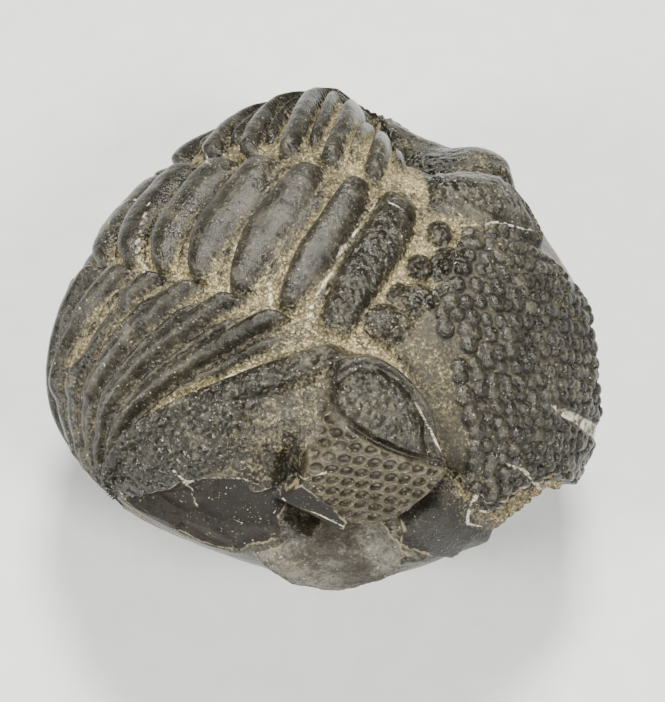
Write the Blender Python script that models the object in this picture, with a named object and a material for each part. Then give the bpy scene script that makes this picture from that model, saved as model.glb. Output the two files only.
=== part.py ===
"""A curled-up trilobite fossil, one solid stone that lies on the flat of its tail.

The body is a roll. It is sculpted from a sphere: every vertex is put on the smooth roll first, and
is then raised or sunk along the surface by the relief of the shell. +X is the head's front, +Y is
the animal's left side, and the flat that the stone rests on is at z = 0.
"""
import math

import bmesh
import bpy
import numpy as np
from mathutils import Vector, noise

MM = 0.001

# The roll: how far it reaches from its centre, and how high that centre is over the table
ROLL_FRONT = 27.4 * MM
ROLL_REAR = 32.1 * MM
ROLL_TOP = 21.8 * MM
ROLL_UNDER = 20.1 * MM
ROLL_CENTRE_HEIGHT = 19.1 * MM
ROLL_CORNER_LOSS = 0.05
HALF_WIDTH = 28.3 * MM
HEAD_EXTRA_WIDTH = 1.2 * MM
HEAD_WIDTH_TURN = 15
HEAD_WIDTH_SPREAD = 55
SIDE_POLE_X = -10.8 * MM
SIDE_POLE_Z = 26.0 * MM
BODY_CENTRE_SHIFT = (2.39 * MM, 0.28 * MM)

# The thorax: eleven segments between the head and the tail shield
SEGMENTS = 11
SEGMENT_LENGTH = 6.3 * MM
FIRST_RING_ARC = 3.4 * MM
RING_HEIGHT = 1.85 * MM
HALF_RING_HEIGHT = 0.55 * MM
RIB_HEIGHT = 1.85 * MM
TAIL_START_ARC = 69.5 * MM
HEAD_MARGIN_TURN = -50

# The middle lobe of the back: its half width in degrees of lean at places along the back
AXIS_ARCS = (-8 * MM, 16 * MM, 28 * MM, 66 * MM, 92 * MM)
AXIS_LEANS = (19, 18.4, 16.2, 12, 4)

# The glabella, the swollen middle of the head: its half width in degrees of lean
GLABELLA_TURNS = (-14, -6, 4, 15, 27, 42, 58, 70, 78)
GLABELLA_LEANS = (2, 13, 22, 27.4, 29.2, 28.6, 25.0, 18.5, 13)
GLABELLA_MIDDLE = 2.6
GLABELLA_HEIGHT = 1.35 * MM

# The smooth strip at the glabella's near side: the lean at which the tubercles begin
BARE_STRIP_TURNS = (24, 32, 39, 47, 52, 60, 66)
BARE_STRIP_LEANS = (-30, -22, -20, -16, -13, -7, -5)

# The tubercles that stand at the strip's edge: turn, lean and radius in mm
LARGE_TUBERCLES = ((51, -13, 1.1), (46, -15, 1.2), (42.3, -16.5, 1.05), (39, -19, 1.0), (36, -21, 0.8),
                   (57, -9, 0.9), (33, -23.5, 0.8))

# The eyes: the centre of each and the radii of its outline, every 30 degrees from its front
EYE_TURN = 57
EYE_LEAN = 33
EYE_RADII = (7.8, 9.8, 8.3, 7.0, 5.9, 5.7, 6.8, 10.3, 8.9, 6.8, 6.0, 6.9)
FAR_EYE_SHIFT = (5, 5)
FAR_EYE_HEIGHT = 0.6
EYE_HEIGHT = 2.5 * MM
LENS_PIT_DEPTH = 0.4 * MM
LENS_SPACING = (1.27 * MM, 1.36 * MM)

# Lengths on the skin for one degree of turn on the middle line, and for one degree of lean
TURN_LENGTH = 0.45 * MM
LEAN_LENGTH = 0.48 * MM

# Lumps of the band before the neck ring: turn, lean, half length and half width in mm, height in mm
NECK_LUMPS = ((76.5, 4.2, 1.5, 1.5, 1.3), (74.5, -10.5, 2.9, 2.3, 1.4), (76.0, 14.5, 1.5, 1.9, 1.0),
              (77.5, -3.5, 1.0, 1.4, 0.6), (72.5, -3.0, 2.4, 2.2, 1.1), (71.5, 8.0, 1.8, 2.6, 0.9))

# Pressed-in and swollen places of the far side: turn, lean, half length, half width and height in mm
FAR_DENTS = ((86, 62, 10, 17, -7.0), (49, 61, 7, 8, 2.5), (32, 48, 8, 9, -2.2))

# Broken places, each an outline of turn and lean on the near side
MATRIX_LEDGE = ((21, -62), (29, -58), (31, -51), (28, -43), (20, -42), (11, -39), (-4, -43),
                (-20, -47), (-28, -55), (-10, -62), (8, -64))
CHEEK_PLATE = ((41, -26), (30, -24), (20, -24), (12, -20), (9, -24), (12, -29), (9, -32), (3, -36), (11, -39),
               (19, -42), (33, -37))
CALCITE_SLAB = ((76, -90), (76, -67), (66, -57), (58, -58), (55, -52), (48, -53), (40, -58), (30, -60),
                (17, -67), (0, -72), (0, -90))
UNDERCUT = ((47, -51), (40, -50), (34, -47), (31, -42), (27, -42), (26, -47), (30, -54), (38, -57), (48, -55))
FRONT_STRIP = ((22, -24), (19, -16), (15, -9), (11, -10), (10, -17), (10, -24), (16, -27))
DARK_WEDGE = ((60, -46), (56, -53), (49, -54), (41, -50), (46, -45))

# Worn ribs: outlines of turn and lean, and how much of their relief is lost
WORN_RIBS = (
    (((160, -48), (143, -43), (130, -28), (140, -24), (156, -34)), 0.75),
    (((175, -50), (135, -54), (125, -64), (150, -72), (180, -66)), 0.6),
)

# The mesh: the first grid on each side of the cube, and the triangles that the solid keeps
CUBE_CUTS = 56
TRIANGLES = 9800


def smooth(value, start, end):
    """Rise from 0 at start to 1 at end."""
    part = np.clip((value - start) / (end - start), 0, 1)
    return part * part * (3 - 2 * part)


def blend(first, second, share):
    return first * (1 - share) + second * share


def bump(distance, power=2.0, shoulder=0.7):
    """A rounded rise, 1 in the middle and 0 from distance 1 outwards."""
    return np.clip(1 - np.abs(distance) ** power, 0, 1) ** shoulder


def groove(distance, half):
    return np.exp(-(distance / half) ** 2)


def leaning(distance, crest):
    """A distance from -1 to 1 with its middle moved to the crest, so one flank is the steeper."""
    return np.where(distance < crest, (distance - crest) / (1 + crest), (distance - crest) / (1 - crest))


def roll_point(turn, lean):
    """The point of the smooth roll at a turn round it and a lean to the side, both in degrees."""
    u, v = np.radians(turn), np.radians(lean)
    cosine, sine = np.cos(u), np.sin(u)
    fullness = 1 - ROLL_CORNER_LOSS * np.sin(2 * u) ** 2
    along = np.where(cosine > 0, ROLL_FRONT, ROLL_REAR) * cosine * fullness
    rise = np.where(sine > 0, ROLL_TOP, ROLL_UNDER) * sine * fullness
    from_head = (np.asarray(turn, float) - HEAD_WIDTH_TURN + 180) % 360 - 180
    half = HALF_WIDTH + HEAD_EXTRA_WIDTH * np.exp(-(from_head / HEAD_WIDTH_SPREAD) ** 2)
    towards = np.cos(v)
    x = SIDE_POLE_X + towards * (along - SIDE_POLE_X)
    z = SIDE_POLE_Z + towards * (rise + ROLL_CENTRE_HEIGHT - SIDE_POLE_Z)
    return np.stack(np.broadcast_arrays(x, half * np.sin(v), z), -1)


def back_lengths():
    """Turns round the roll, and the length along the back at each, counted from the top."""
    turns = np.arange(-90.0, 361.0, 1.0)
    steps = np.linalg.norm(np.diff(roll_point(turns, 0.0), axis=0), axis=1)
    lengths = np.concatenate([[0.0], np.cumsum(steps)])
    return turns, lengths - np.interp(90, turns, lengths)


BACK_TURNS, BACK_LENGTHS = back_lengths()


def ripple(points, size, seed):
    """Smooth noise between -1 and 1 with waves of about the given size."""
    return np.array([noise.noise(Vector(point)) for point in points / size + seed])


def direction_point(direction):
    """The point of the smooth roll that a direction from the sphere's centre stands for."""
    unit = direction / np.linalg.norm(direction, axis=1, keepdims=True)
    turn = np.degrees(np.arctan2(unit[:, 2], unit[:, 0]))
    return roll_point(turn, np.degrees(np.arcsin(np.clip(unit[:, 1], -1, 1))))


def outward_normal(unit, step=0.004):
    """The normal of the smooth roll, from points a small step to each side."""
    first = np.cross(unit, np.array([0.31, 0.87, 0.38]))
    first /= np.linalg.norm(first, axis=1, keepdims=True)
    second = np.cross(unit, first)
    one = direction_point(unit + step * first) - direction_point(unit - step * first)
    other = direction_point(unit + step * second) - direction_point(unit - step * second)
    normal = np.cross(one, other)
    normal /= np.linalg.norm(normal, axis=1, keepdims=True)
    return normal * np.sign((normal * unit).sum(1))[:, None]


class Skin:
    """Where each vertex lies on the shell.

    turn and lean are its angles on the roll, arc is its length along the back from the top, out is
    the lean without its sign, side goes from 0 at the middle lobe's edge to 1 at the side, and fan
    is the length along the back of the rib line that runs through it. wave is the small noise that
    makes broken edges ragged.
    """

    def __init__(self, unit):
        self.lean = np.degrees(np.arcsin(np.clip(unit[:, 1], -1, 1)))
        turn = np.degrees(np.arctan2(unit[:, 2], unit[:, 0]))
        self.turn = (turn - HEAD_MARGIN_TURN) % 360 + HEAD_MARGIN_TURN
        self.near = self.lean < 0
        self.base = roll_point(self.turn, self.lean)
        self.normal = outward_normal(unit)
        wander = smooth(90 - np.abs(self.lean), 4, 20)
        self.turn = self.turn + 0.55 * wander * ripple(self.base, 7 * MM, 3.1)
        self.lean = self.lean + 0.5 * wander * ripple(self.base, 7 * MM, 11.7)
        self.out = np.abs(self.lean)
        self.arc = np.interp(self.turn, BACK_TURNS, BACK_LENGTHS)
        self.axis = np.interp(self.arc, AXIS_ARCS, AXIS_LEANS)
        self.across = self.out / self.axis
        self.side = np.clip((self.out - self.axis) / (90 - self.axis), 0, 1)
        far_slope = 8.5 + 12 * smooth(self.arc, 8 * MM, 26 * MM)
        self.fan = self.arc - np.where(self.near, 22.5, far_slope) * MM * self.side
        self.wave = ripple(self.base, 2.0 * MM, 15.0)

    def offset(self, turn, lean):
        """Lengths on the skin from one place, towards the head and away from the middle."""
        ahead = (turn - self.turn) * TURN_LENGTH * math.cos(math.radians(lean))
        outward = (self.lean - lean) * LEAN_LENGTH * (1 if lean >= 0 else -1)
        return ahead, outward

    def depth_in(self, outline):
        """How far inside an outline of turns and leans each vertex is, negative outside it."""
        corners = np.array(outline, float)
        scale = np.array([TURN_LENGTH * math.cos(math.radians(corners[:, 1].mean())), LEAN_LENGTH])
        corners = corners * scale
        point = np.stack([self.turn, self.lean], 1) * scale
        nearest = np.full(len(point), 1.0)
        inside = np.zeros(len(point), bool)
        for start, end in zip(corners, np.roll(corners, -1, 0)):
            edge = end - start
            away = point - start
            along = np.clip(away @ edge / (edge @ edge), 0, 1)
            nearest = np.minimum(nearest, np.linalg.norm(away - along[:, None] * edge, axis=1))
            crosses = (start[1] > point[:, 1]) != (end[1] > point[:, 1])
            height = (point[:, 1] - start[1]) / (edge[1] if edge[1] else 1)
            inside ^= crosses & (point[:, 0] < start[0] + height * edge[0])
        return np.where(inside, nearest, -nearest)


def rings(skin):
    """The leaf-shaped rings of the middle lobe with a narrow half ring before each: 0 to 1 both."""
    inner = np.minimum(skin.across, 1)
    bow = np.where(skin.near, -(0.6 * MM + 0.1 * np.clip(skin.arc, 0, 21 * MM)), 0.4 * MM) * inner ** 2
    phase = (skin.arc - bow - FIRST_RING_ARC) / SEGMENT_LENGTH
    number = np.round(np.clip(phase, 0, SEGMENTS - 1))
    step = phase - number
    taper = 1 - np.where(skin.near, 0.5, 0.42) * inner ** 2.2
    half = np.where(number == 0, 0.35, 0.425) * taper
    ends = bump(skin.across, 7, 0.6)
    whole = bump(leaning(np.clip(step / half, -1, 1), 0.35), 2.0, 0.6) * ends
    between = bump((step + 0.48) / 0.11) * bump(skin.across / 0.9, 6)
    return whole, between


def ribs(skin):
    """The side bands of the thorax: a wide band and a thin one to each segment, 0 to 1 both."""
    near_bend = 0.6 * MM + 0.1 * np.clip(skin.fan, 0, 21 * MM)
    far_bend = 0.1 * np.clip(skin.fan, 3 * MM, 24 * MM) - 0.3 * MM
    phase = (skin.fan + np.where(skin.near, near_bend, far_bend) - FIRST_RING_ARC) / SEGMENT_LENGTH
    phase = phase + np.where(skin.near, 0.06, 0.12)
    step = phase - np.round(np.clip(phase, 0, SEGMENTS - 1))
    wide_half = np.where(skin.near, 0.25 + 0.045 * smooth(skin.side, 0.03, 0.2), 0.23)
    wide_half = wide_half * (0.55 + 0.45 * smooth(skin.side, 0.0, 0.05))
    wide = bump(leaning(np.clip(step / wide_half, -1, 1), 0.2), 2.6, 0.6) * smooth(skin.side, 0.003, 0.05)
    thin_step = (step + np.where(skin.near, 0.5, 0.43) + 0.5) % 1 - 0.5
    thin_half = np.where(skin.near, 0.145, 0.12)
    thin = 0.68 * bump(thin_step / thin_half, 2.2, 0.6) * smooth(skin.side, 0.02, 0.1)
    fade = 1 - 0.5 * smooth(skin.side, 0.4, 0.95)
    return wide * fade, thin * fade


def thorax(skin):
    """The relief of the ringed back."""
    whole, between = rings(skin)
    wide, thin = ribs(skin)
    middle = np.maximum(RING_HEIGHT * whole, HALF_RING_HEIGHT * between)
    height = np.where(skin.across < 1, middle, RIB_HEIGHT * np.maximum(wide, thin))
    worn = 0
    for outline, depth in WORN_RIBS:
        worn = np.maximum(worn, depth * smooth(skin.depth_in(outline), -1.0 * MM, 1.5 * MM))
    return blend(height, 0.6 * MM, worn) - 1.0 * MM - 0.5 * MM * groove(skin.out - skin.axis, 1.6)


def tail(skin):
    """The tail shield: a narrowing middle lobe with rings, flat ribs beside it and a smooth border."""
    along = (skin.arc - TAIL_START_ARC) / MM
    half = np.interp(along, (0, 24), (12, 4))
    inside = skin.out / half
    fade = 1 - smooth(along, 20, 26)
    ring = 0.5 + 0.5 * np.cos(2 * math.pi * along / 3.1)
    middle = (0.9 + 0.5 * ring) * bump(inside, 4, 0.6) * fade
    fan = along - 0.16 * (skin.out - half)
    rib = bump(((fan / 3.6 + 0.5) % 1 - 0.5) / 0.36)
    border = smooth(skin.out, 56, 70)
    beside = 0.75 * rib * smooth(inside, 1.0, 1.25) * (1 - border) * fade + 0.4 * border
    return (np.maximum(middle, beside) - 0.3) * MM


def glabella(skin):
    """How far in each vertex is on the glabella, from 0 in its furrows to 1 on top."""
    away = np.abs(skin.lean - GLABELLA_MIDDLE)
    half = np.interp(skin.turn, GLABELLA_TURNS, GLABELLA_LEANS)
    front_turn = np.interp(away, (0, 5, 12, 20, 30), (-12, -6, 12, 17, 18))
    sides = (half - away) * LEAN_LENGTH
    front = (skin.turn - front_turn) * TURN_LENGTH
    back = (72.5 - skin.turn) * TURN_LENGTH
    edge = np.minimum(np.minimum(sides, front), back)
    return smooth(edge, -0.3 * MM, 2.4 * MM) ** 0.8


def neck_ring(skin):
    """The ring at the back of the head."""
    bow = np.where(skin.near, -1.5 * MM, 0.8 * MM) * np.minimum(skin.across, 1) ** 2
    half = 2.7 * MM * (1 - 0.35 * np.minimum(skin.across, 1) ** 2.5)
    section = leaning(np.clip((skin.arc - bow + 1.85 * MM) / half, -1, 1), 0.2)
    return bump(section, 2.4, 0.6) * bump(skin.across / 0.97, 8, 0.6)


def head_back_edge(side):
    """The rib-line length at which the head ends and the thorax begins."""
    return (-4.2 + 3.6 * side + 5.2 * side * side) * MM


def cheek_lobe(skin):
    """Height of the swollen band along the back of each cheek."""
    behind = head_back_edge(skin.side) - skin.fan
    low_sides = (0, 0.1, 0.2, 0.3, 0.42, 0.52, 0.7, 1.0)
    low_fans = (-7.4, -7.6, -8.2, -9.6, -13.0, -18.0, -26, -32)
    before = skin.fan - np.interp(skin.side, low_sides, low_fans) * MM
    body = smooth(behind, -0.15 * MM, 1.0 * MM) * smooth(before, -1.5 * MM, 2.5 * MM)
    crest = bump((behind - 2.0 * MM) / (3.0 * MM), 2.2, 0.6)
    start = smooth(skin.side, 0.0, 0.05)
    swell = np.where(skin.near, 0.85 * body + 0.55 * crest, 0.15 * body)
    return blend(-1.0 * MM, (-0.6 + swell) * MM, start)


def eye_radius(angle):
    """The radius of the eye's outline, a smooth closed curve through its radii."""
    waves = np.fft.rfft(EYE_RADII) / len(EYE_RADII)
    radius = np.full(angle.shape, waves[0].real)
    for number in range(1, len(waves)):
        share = 1 if number == len(waves) - 1 else 2
        wave = waves[number]
        radius += share * (wave.real * np.cos(number * angle) - wave.imag * np.sin(number * angle))
    return radius * MM


def lens_distance(forward, outward):
    """How far each vertex is from the nearest lens, whose rows are set half a step apart."""
    turned = math.radians(-37)
    along = (forward * math.cos(turned) + outward * math.sin(turned)) / LENS_SPACING[0]
    across = (outward * math.cos(turned) - forward * math.sin(turned)) / LENS_SPACING[1]
    nearest = np.full(len(along), 1.0)
    for row in (np.floor(across), np.floor(across) + 1):
        shift = 0.5 * (row % 2)
        column = np.round(along - shift) + shift
        away = np.hypot((along - column) * LENS_SPACING[0], (across - row) * LENS_SPACING[1])
        nearest = np.minimum(nearest, away)
    return nearest


def raise_eye(skin, height, side):
    """Put one eye on the head: a lid inside, the lens wall outside, and a moat round its foot."""
    set_back, set_out = FAR_EYE_SHIFT if side > 0 else (0, 0)
    forward = (EYE_TURN + set_back - skin.turn) * 0.39 * MM + 0.1 * MM * skin.wave
    outward = (side * skin.lean - EYE_LEAN - set_out) * 0.47 * MM
    angle = np.arctan2(outward - 0.2 * MM, forward - 0.6 * MM)
    inside = eye_radius(angle) - np.hypot(forward - 0.6 * MM, outward - 0.2 * MM)
    ridge = -0.85 * MM - 36 * (forward + 3.2 * MM) ** 2 - 200 * np.minimum(forward + 4.5 * MM, 0) ** 2
    past_ridge = outward - ridge
    lid = smooth(-past_ridge, -0.1 * MM, 0.35 * MM)
    lid_top = 1.3 * MM * smooth(inside, 0, 0.9 * MM) + (EYE_HEIGHT - 1.3 * MM) * smooth(inside, MM, 5 * MM)
    lid_top = lid_top - 0.4 * MM * groove(inside - 1.7 * MM, 0.45 * MM)
    lens_top = EYE_HEIGHT - 0.15 * MM - 0.09 * np.clip(past_ridge, 0, 9 * MM)
    lens_top = lens_top - 0.9 * MM * groove(past_ridge - 0.35 * MM, 0.5 * MM)
    away = lens_distance(forward, outward) / MM
    pit = LENS_PIT_DEPTH * bump(away / 0.5, 2.0, 0.7)
    pitted = smooth(past_ridge, 0.7 * MM, 1.2 * MM) * smooth(inside, 0.25 * MM, 0.9 * MM)
    lens_top = lens_top - pit * pitted
    steep = np.maximum(smooth(np.cos(angle - math.radians(42)), -0.30, 0.35), lid)
    body = blend(smooth(inside, -0.6 * MM, 4.0 * MM), smooth(inside, -0.4 * MM, 0.6 * MM), steep)
    moat = groove(inside + 1.3 * MM, 1.1 * MM) * smooth(np.cos(angle - math.radians(52)), -0.2, 0.5)
    tall = FAR_EYE_HEIGHT if side > 0 else 1
    raised = blend(height - 1.7 * MM * tall * moat, blend(lens_top, lid_top, lid) * tall, body)
    return np.where((np.sign(skin.lean) == side) & (inside > -5 * MM), raised, height)


def tubercle_sites(seed=5):
    """Where the glabella's wart-like tubercles stand: turn, lean and radius."""
    random = np.random.RandomState(seed)
    sites = list(LARGE_TUBERCLES)
    turn, row = 71.0, 0
    while turn > -12:
        size = np.interp(turn, (-5, 15, 30, 72), (1.1, 1.35, 1.55, 1.85))
        spread = 1.06 * size / 0.49
        for place in range(-int(34 / spread), int(34 / spread) + 1):
            lean = GLABELLA_MIDDLE + (place + 0.5 * (row % 2)) * spread + random.uniform(-0.8, 0.8)
            site_turn = turn + random.uniform(-1.0, 1.0)
            radius = 0.5 * size * random.uniform(0.78, 1.14) * MM
            half = np.interp(site_turn, GLABELLA_TURNS, GLABELLA_LEANS)
            bare_to = np.interp(site_turn, BARE_STRIP_TURNS, BARE_STRIP_LEANS)
            if abs(lean - GLABELLA_MIDDLE) < half - 1 and lean > bare_to:
                sites.append((site_turn, lean, radius / MM))
        turn -= size / 0.5 * 0.9
        row += 1
    return sites


def tubercles(skin):
    height = np.zeros(len(skin.turn))
    place = roll_point(skin.turn, skin.lean)
    for turn, lean, radius in tubercle_sites():
        radius *= MM
        centre = roll_point(turn, lean)
        close = np.flatnonzero(np.abs(place - centre).max(1) < radius)
        away = np.linalg.norm(place[close] - centre, axis=1) / radius
        height[close] = np.maximum(height[close], 0.72 * radius * bump(away, 2.3, 0.55))
    return height


def head(skin):
    """The relief of the head, from its furrows up."""
    height = np.full(len(skin.turn), -1.0 * MM) + GLABELLA_HEIGHT * glabella(skin)
    height = np.maximum(height, -1.0 * MM + 1.7 * MM * neck_ring(skin))
    for turn, lean, half_length, half_width, tall in NECK_LUMPS:
        ahead, outward = skin.offset(turn, lean)
        lump = bump(np.hypot(ahead / (half_length * MM), outward / (half_width * MM)), 2.4)
        height = np.maximum(height, (tall * lump - 1.0) * MM)
    cheek = smooth(skin.side, 0.03, 0.2) * smooth(-skin.fan, 5 * MM, 8 * MM)
    height = np.maximum(height, blend(-1.0 * MM, -0.45 * MM, cheek))
    height = np.maximum(height, cheek_lobe(skin))
    half = np.interp(skin.turn, GLABELLA_TURNS, GLABELLA_LEANS)
    away = np.abs(skin.lean - GLABELLA_MIDDLE)
    front_cheek = smooth(away, half + 1.5, half + 7) * smooth(-skin.turn, -38, -29)
    height = np.maximum(height, blend(-1.0 * MM, np.where(skin.near, 0.1 * MM, -0.8 * MM), front_cheek))
    rim = bump((skin.turn + 21) / 9) * (1 - smooth(skin.out, 60, 75))
    height = np.maximum(height, (1.5 * rim - 1.0) * MM)
    for side in (-1, 1):
        height = raise_eye(skin, height, side)
    return height + tubercles(skin) - 0.8 * MM * groove(skin.turn - HEAD_MARGIN_TURN, 3)


def facets(points, size, seed):
    """Flat tilted faces like those of broken rock: a height from -1 to 1."""
    heights = np.empty(len(points))
    for index, point in enumerate(points / size + seed):
        centre = noise.voronoi(Vector(point))[1][0]
        tilt = noise.cell_vector(centre * 7.3)
        heights[index] = tilt.dot(Vector(point) - centre) + 0.5 * (tilt.x - 0.5)
    return heights


def breaks(skin):
    """Where the shell is broken away, pressed in, or still stuck in rock."""
    height = 0.0
    for turn, lean, half_length, half_width, tall in FAR_DENTS:
        ahead, outward = skin.offset(turn, lean)
        away = np.hypot(ahead / (half_length * MM), outward / (half_width * MM))
        height = height + tall * MM * bump(away, 2, 1.4)
    margin_leans = (-60, -46, -42, -34, -27, -18, -10, -4, 4)
    margin = np.interp(skin.lean, margin_leans, (-40, -10, 17, 6, 6, 11, 8, -6, -14))
    gone = smooth(margin - skin.turn, -0.5, 4) * smooth(skin.lean, -50, -42)
    gone = gone * (1 - smooth(skin.lean, -4, 10)) * smooth(skin.turn, -38, -15)
    ragged = 0.35 * MM * skin.wave
    ledge = skin.depth_in(MATRIX_LEDGE) + ragged
    plate = np.maximum(skin.depth_in(CHEEK_PLATE), skin.depth_in(FRONT_STRIP)) + ragged
    slab = np.maximum(skin.depth_in(CALCITE_SLAB), skin.depth_in(DARK_WEDGE)) + ragged
    height = height - 2.8 * MM * gone
    height = height - 2.3 * MM * smooth(skin.depth_in(UNDERCUT), -1.0 * MM, 0.9 * MM)
    height = height + 1.3 * MM * smooth(ledge, -0.3 * MM, 1.4 * MM)
    height = height + 0.45 * MM * smooth(plate, -0.1 * MM, 0.25 * MM)
    height = height - 0.45 * MM * smooth(slab, -0.1 * MM, 0.25 * MM)
    for inside, size, tall in ((ledge, 4.5, 0.4), (slab, 7.0, 0.9), (gone * MM, 3.0, 0.5)):
        share = smooth(inside, 0, MM)
        there = np.flatnonzero(share > 0)
        height[there] += tall * MM * share[there] * facets(skin.base[there], size * MM, 4.0)
    return height + 0.18 * MM * ripple(skin.base, 6 * MM, 9.0)


def relief(skin):
    """The height of the whole shell over the smooth roll."""
    in_tail = smooth(skin.arc, TAIL_START_ARC - 0.5 * MM, TAIL_START_ARC + 0.5 * MM)
    back = blend(thorax(skin), tail(skin), in_tail)
    inner = np.minimum(skin.across, 1)
    neck_line = 0.75 * MM + np.where(skin.near, -1.2 * MM, 0.4 * MM) * inner ** 2
    on_side = smooth(skin.across, 0.93, 1.07)
    edge = blend(neck_line - skin.arc, head_back_edge(skin.side) - skin.fan, on_side)
    height = blend(back, head(skin), smooth(edge, -0.3 * MM, 0.3 * MM))
    return height + breaks(skin)


def sphere_mesh():
    """A closed sphere of even quads from a cube, with finer ones over the back and the head."""
    mesh = bmesh.new()
    bmesh.ops.create_cube(mesh, size=2)
    bmesh.ops.subdivide_edges(mesh, edges=mesh.edges[:], cuts=CUBE_CUTS, use_grid_fill=True)
    for vertex in mesh.verts:
        x, y, z = vertex.co
        vertex.co = (x * math.sqrt(1 - y * y / 2 - z * z / 2 + y * y * z * z / 3),
                     y * math.sqrt(1 - z * z / 2 - x * x / 2 + z * z * x * x / 3),
                     z * math.sqrt(1 - x * x / 2 - y * y / 2 + x * x * y * y / 3))
    refine(mesh, lambda turn, lean: -25 < turn < 175)
    refine(mesh, lambda turn, lean: -12 < turn < 82 and lean < 30 or 26 < turn < 82 and 18 < lean < 52)
    return mesh


def refine(mesh, wanted):
    """Divide the faces whose turn and lean pass the test, and put the new vertices on the sphere."""
    edges = set()
    for face in mesh.faces:
        x, y, z = face.calc_center_median().normalized()
        if wanted(math.degrees(math.atan2(z, x)), math.degrees(abs(math.asin(y)))):
            edges.update(face.edges)
    bmesh.ops.subdivide_edges(mesh, edges=list(edges), cuts=1, use_grid_fill=True)
    for vertex in mesh.verts:
        vertex.co.normalize()


def sculpt(mesh):
    """Move the sphere's vertices to the roll and raise the shell's relief on it."""
    count = len(mesh.vertices)
    flat = np.empty(count * 3, np.float32)
    mesh.vertices.foreach_get("co", flat)
    unit = flat.reshape(-1, 3).astype(float)
    skin = Skin(unit / np.linalg.norm(unit, axis=1, keepdims=True))
    place = skin.base + skin.normal * relief(skin)[:, None]
    place[:, 0] += BODY_CENTRE_SHIFT[0]
    place[:, 1] += BODY_CENTRE_SHIFT[1]
    mesh.vertices.foreach_set("co", place.astype(np.float32).ravel())
    mesh.update()


def stone_material():
    material = bpy.data.materials.new("dark_calcite")
    material.use_nodes = True
    shader = material.node_tree.nodes["Principled BSDF"]
    shader.inputs["Base Color"].default_value = (0.045, 0.038, 0.028, 1)
    shader.inputs["Roughness"].default_value = 0.38
    shader.inputs["Metallic"].default_value = 0.0
    return material


def collection(name):
    made = bpy.data.collections.new(name)
    bpy.context.scene.collection.children.link(made)
    return made


def make_table_cutter(cutters):
    """A block whose top is the plane that the stone rests on."""
    bpy.ops.mesh.primitive_cube_add(size=0.1, location=(0, 0, -0.05))
    cutter = bpy.context.object
    cutter.name = "table_cutter"
    cutter.hide_render = True
    cutter.display_type = "WIRE"
    for owner in list(cutter.users_collection):
        owner.objects.unlink(cutter)
    cutters.objects.link(cutter)
    return cutter


def make_trilobite(parts, cutter):
    shape = sphere_mesh()
    mesh = bpy.data.meshes.new("trilobite")
    shape.to_mesh(mesh)
    shape.free()
    sculpt(mesh)
    mesh.materials.append(stone_material())
    mesh.shade_smooth()
    fossil = bpy.data.objects.new("trilobite", mesh)
    parts.objects.link(fossil)
    triangles = sum(len(face.vertices) - 2 for face in mesh.polygons)
    thin_out = fossil.modifiers.new("fewer_faces", "DECIMATE")
    thin_out.ratio = TRIANGLES / triangles
    flat = fossil.modifiers.new("flat_to_rest_on", "BOOLEAN")
    flat.operation = "DIFFERENCE"
    flat.object = cutter
    return fossil


def main():
    for old in list(bpy.data.objects):
        bpy.data.objects.remove(old)
    parts = collection("fossil_trilobite")
    cutters = collection("cutters")
    cutter = make_table_cutter(cutters)
    make_trilobite(parts, cutter)


main()
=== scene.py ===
"""A curled-up phacopid trilobite, dressed: the shell in full detail, its stone and a plain studio."""
import math

import bmesh
import bpy
import numpy as np
from bpy.props import FloatProperty, FloatVectorProperty, PointerProperty
from mathutils import Color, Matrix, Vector, noise


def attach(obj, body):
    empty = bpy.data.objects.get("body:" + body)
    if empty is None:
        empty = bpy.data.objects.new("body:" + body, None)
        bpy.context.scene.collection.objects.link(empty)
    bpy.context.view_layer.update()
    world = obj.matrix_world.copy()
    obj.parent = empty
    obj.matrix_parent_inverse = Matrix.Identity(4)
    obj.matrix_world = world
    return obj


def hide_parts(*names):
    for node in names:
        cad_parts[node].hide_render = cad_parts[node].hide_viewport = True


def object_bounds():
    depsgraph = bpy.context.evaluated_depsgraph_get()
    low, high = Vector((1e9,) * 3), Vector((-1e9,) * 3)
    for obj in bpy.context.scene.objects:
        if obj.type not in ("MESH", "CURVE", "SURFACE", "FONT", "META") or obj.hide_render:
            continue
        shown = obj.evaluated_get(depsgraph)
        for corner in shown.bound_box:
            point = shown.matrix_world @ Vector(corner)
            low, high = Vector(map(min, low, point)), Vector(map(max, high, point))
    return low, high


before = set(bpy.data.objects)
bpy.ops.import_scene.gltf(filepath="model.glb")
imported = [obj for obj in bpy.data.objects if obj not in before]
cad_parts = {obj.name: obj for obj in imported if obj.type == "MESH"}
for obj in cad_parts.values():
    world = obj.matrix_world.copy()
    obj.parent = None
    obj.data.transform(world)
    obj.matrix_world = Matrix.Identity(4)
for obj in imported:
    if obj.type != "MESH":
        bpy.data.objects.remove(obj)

bl_info = {
    "name": "Curled Trilobite Fossil",
    "version": (1, 0, 0),
    "blender": (4, 5, 0),
    "location": "3D View > Sidebar > Fossil",
    "description": "Builds a curled-up trilobite fossil with its lensed eyes, warty head and ringed back",
    "category": "Add Mesh",
}

# Metres in a mm: the sculpture's sizes are in mm and degrees up to its last step, and the rest in metres
MM = 0.001
CAD_BOX = [list(corner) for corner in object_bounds()]
SIZE_TOLERANCE = 0.03

# The roll: how far it reaches from its centre, and how high that centre is over the table
ROLL_FRONT = 27.4
ROLL_REAR = 32.1
ROLL_TOP = 21.8
ROLL_UNDER = 20.1
ROLL_CENTRE_HEIGHT = 19.1
ROLL_CORNER_LOSS = 0.05
HALF_WIDTH = 28.3
HEAD_EXTRA_WIDTH = 1.2
HEAD_WIDTH_TURN = 15
HEAD_WIDTH_SPREAD = 55
SIDE_POLE_X = -10.8
SIDE_POLE_Z = 26.0
BODY_CENTRE_SHIFT = (2.39, 0.28)

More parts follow.
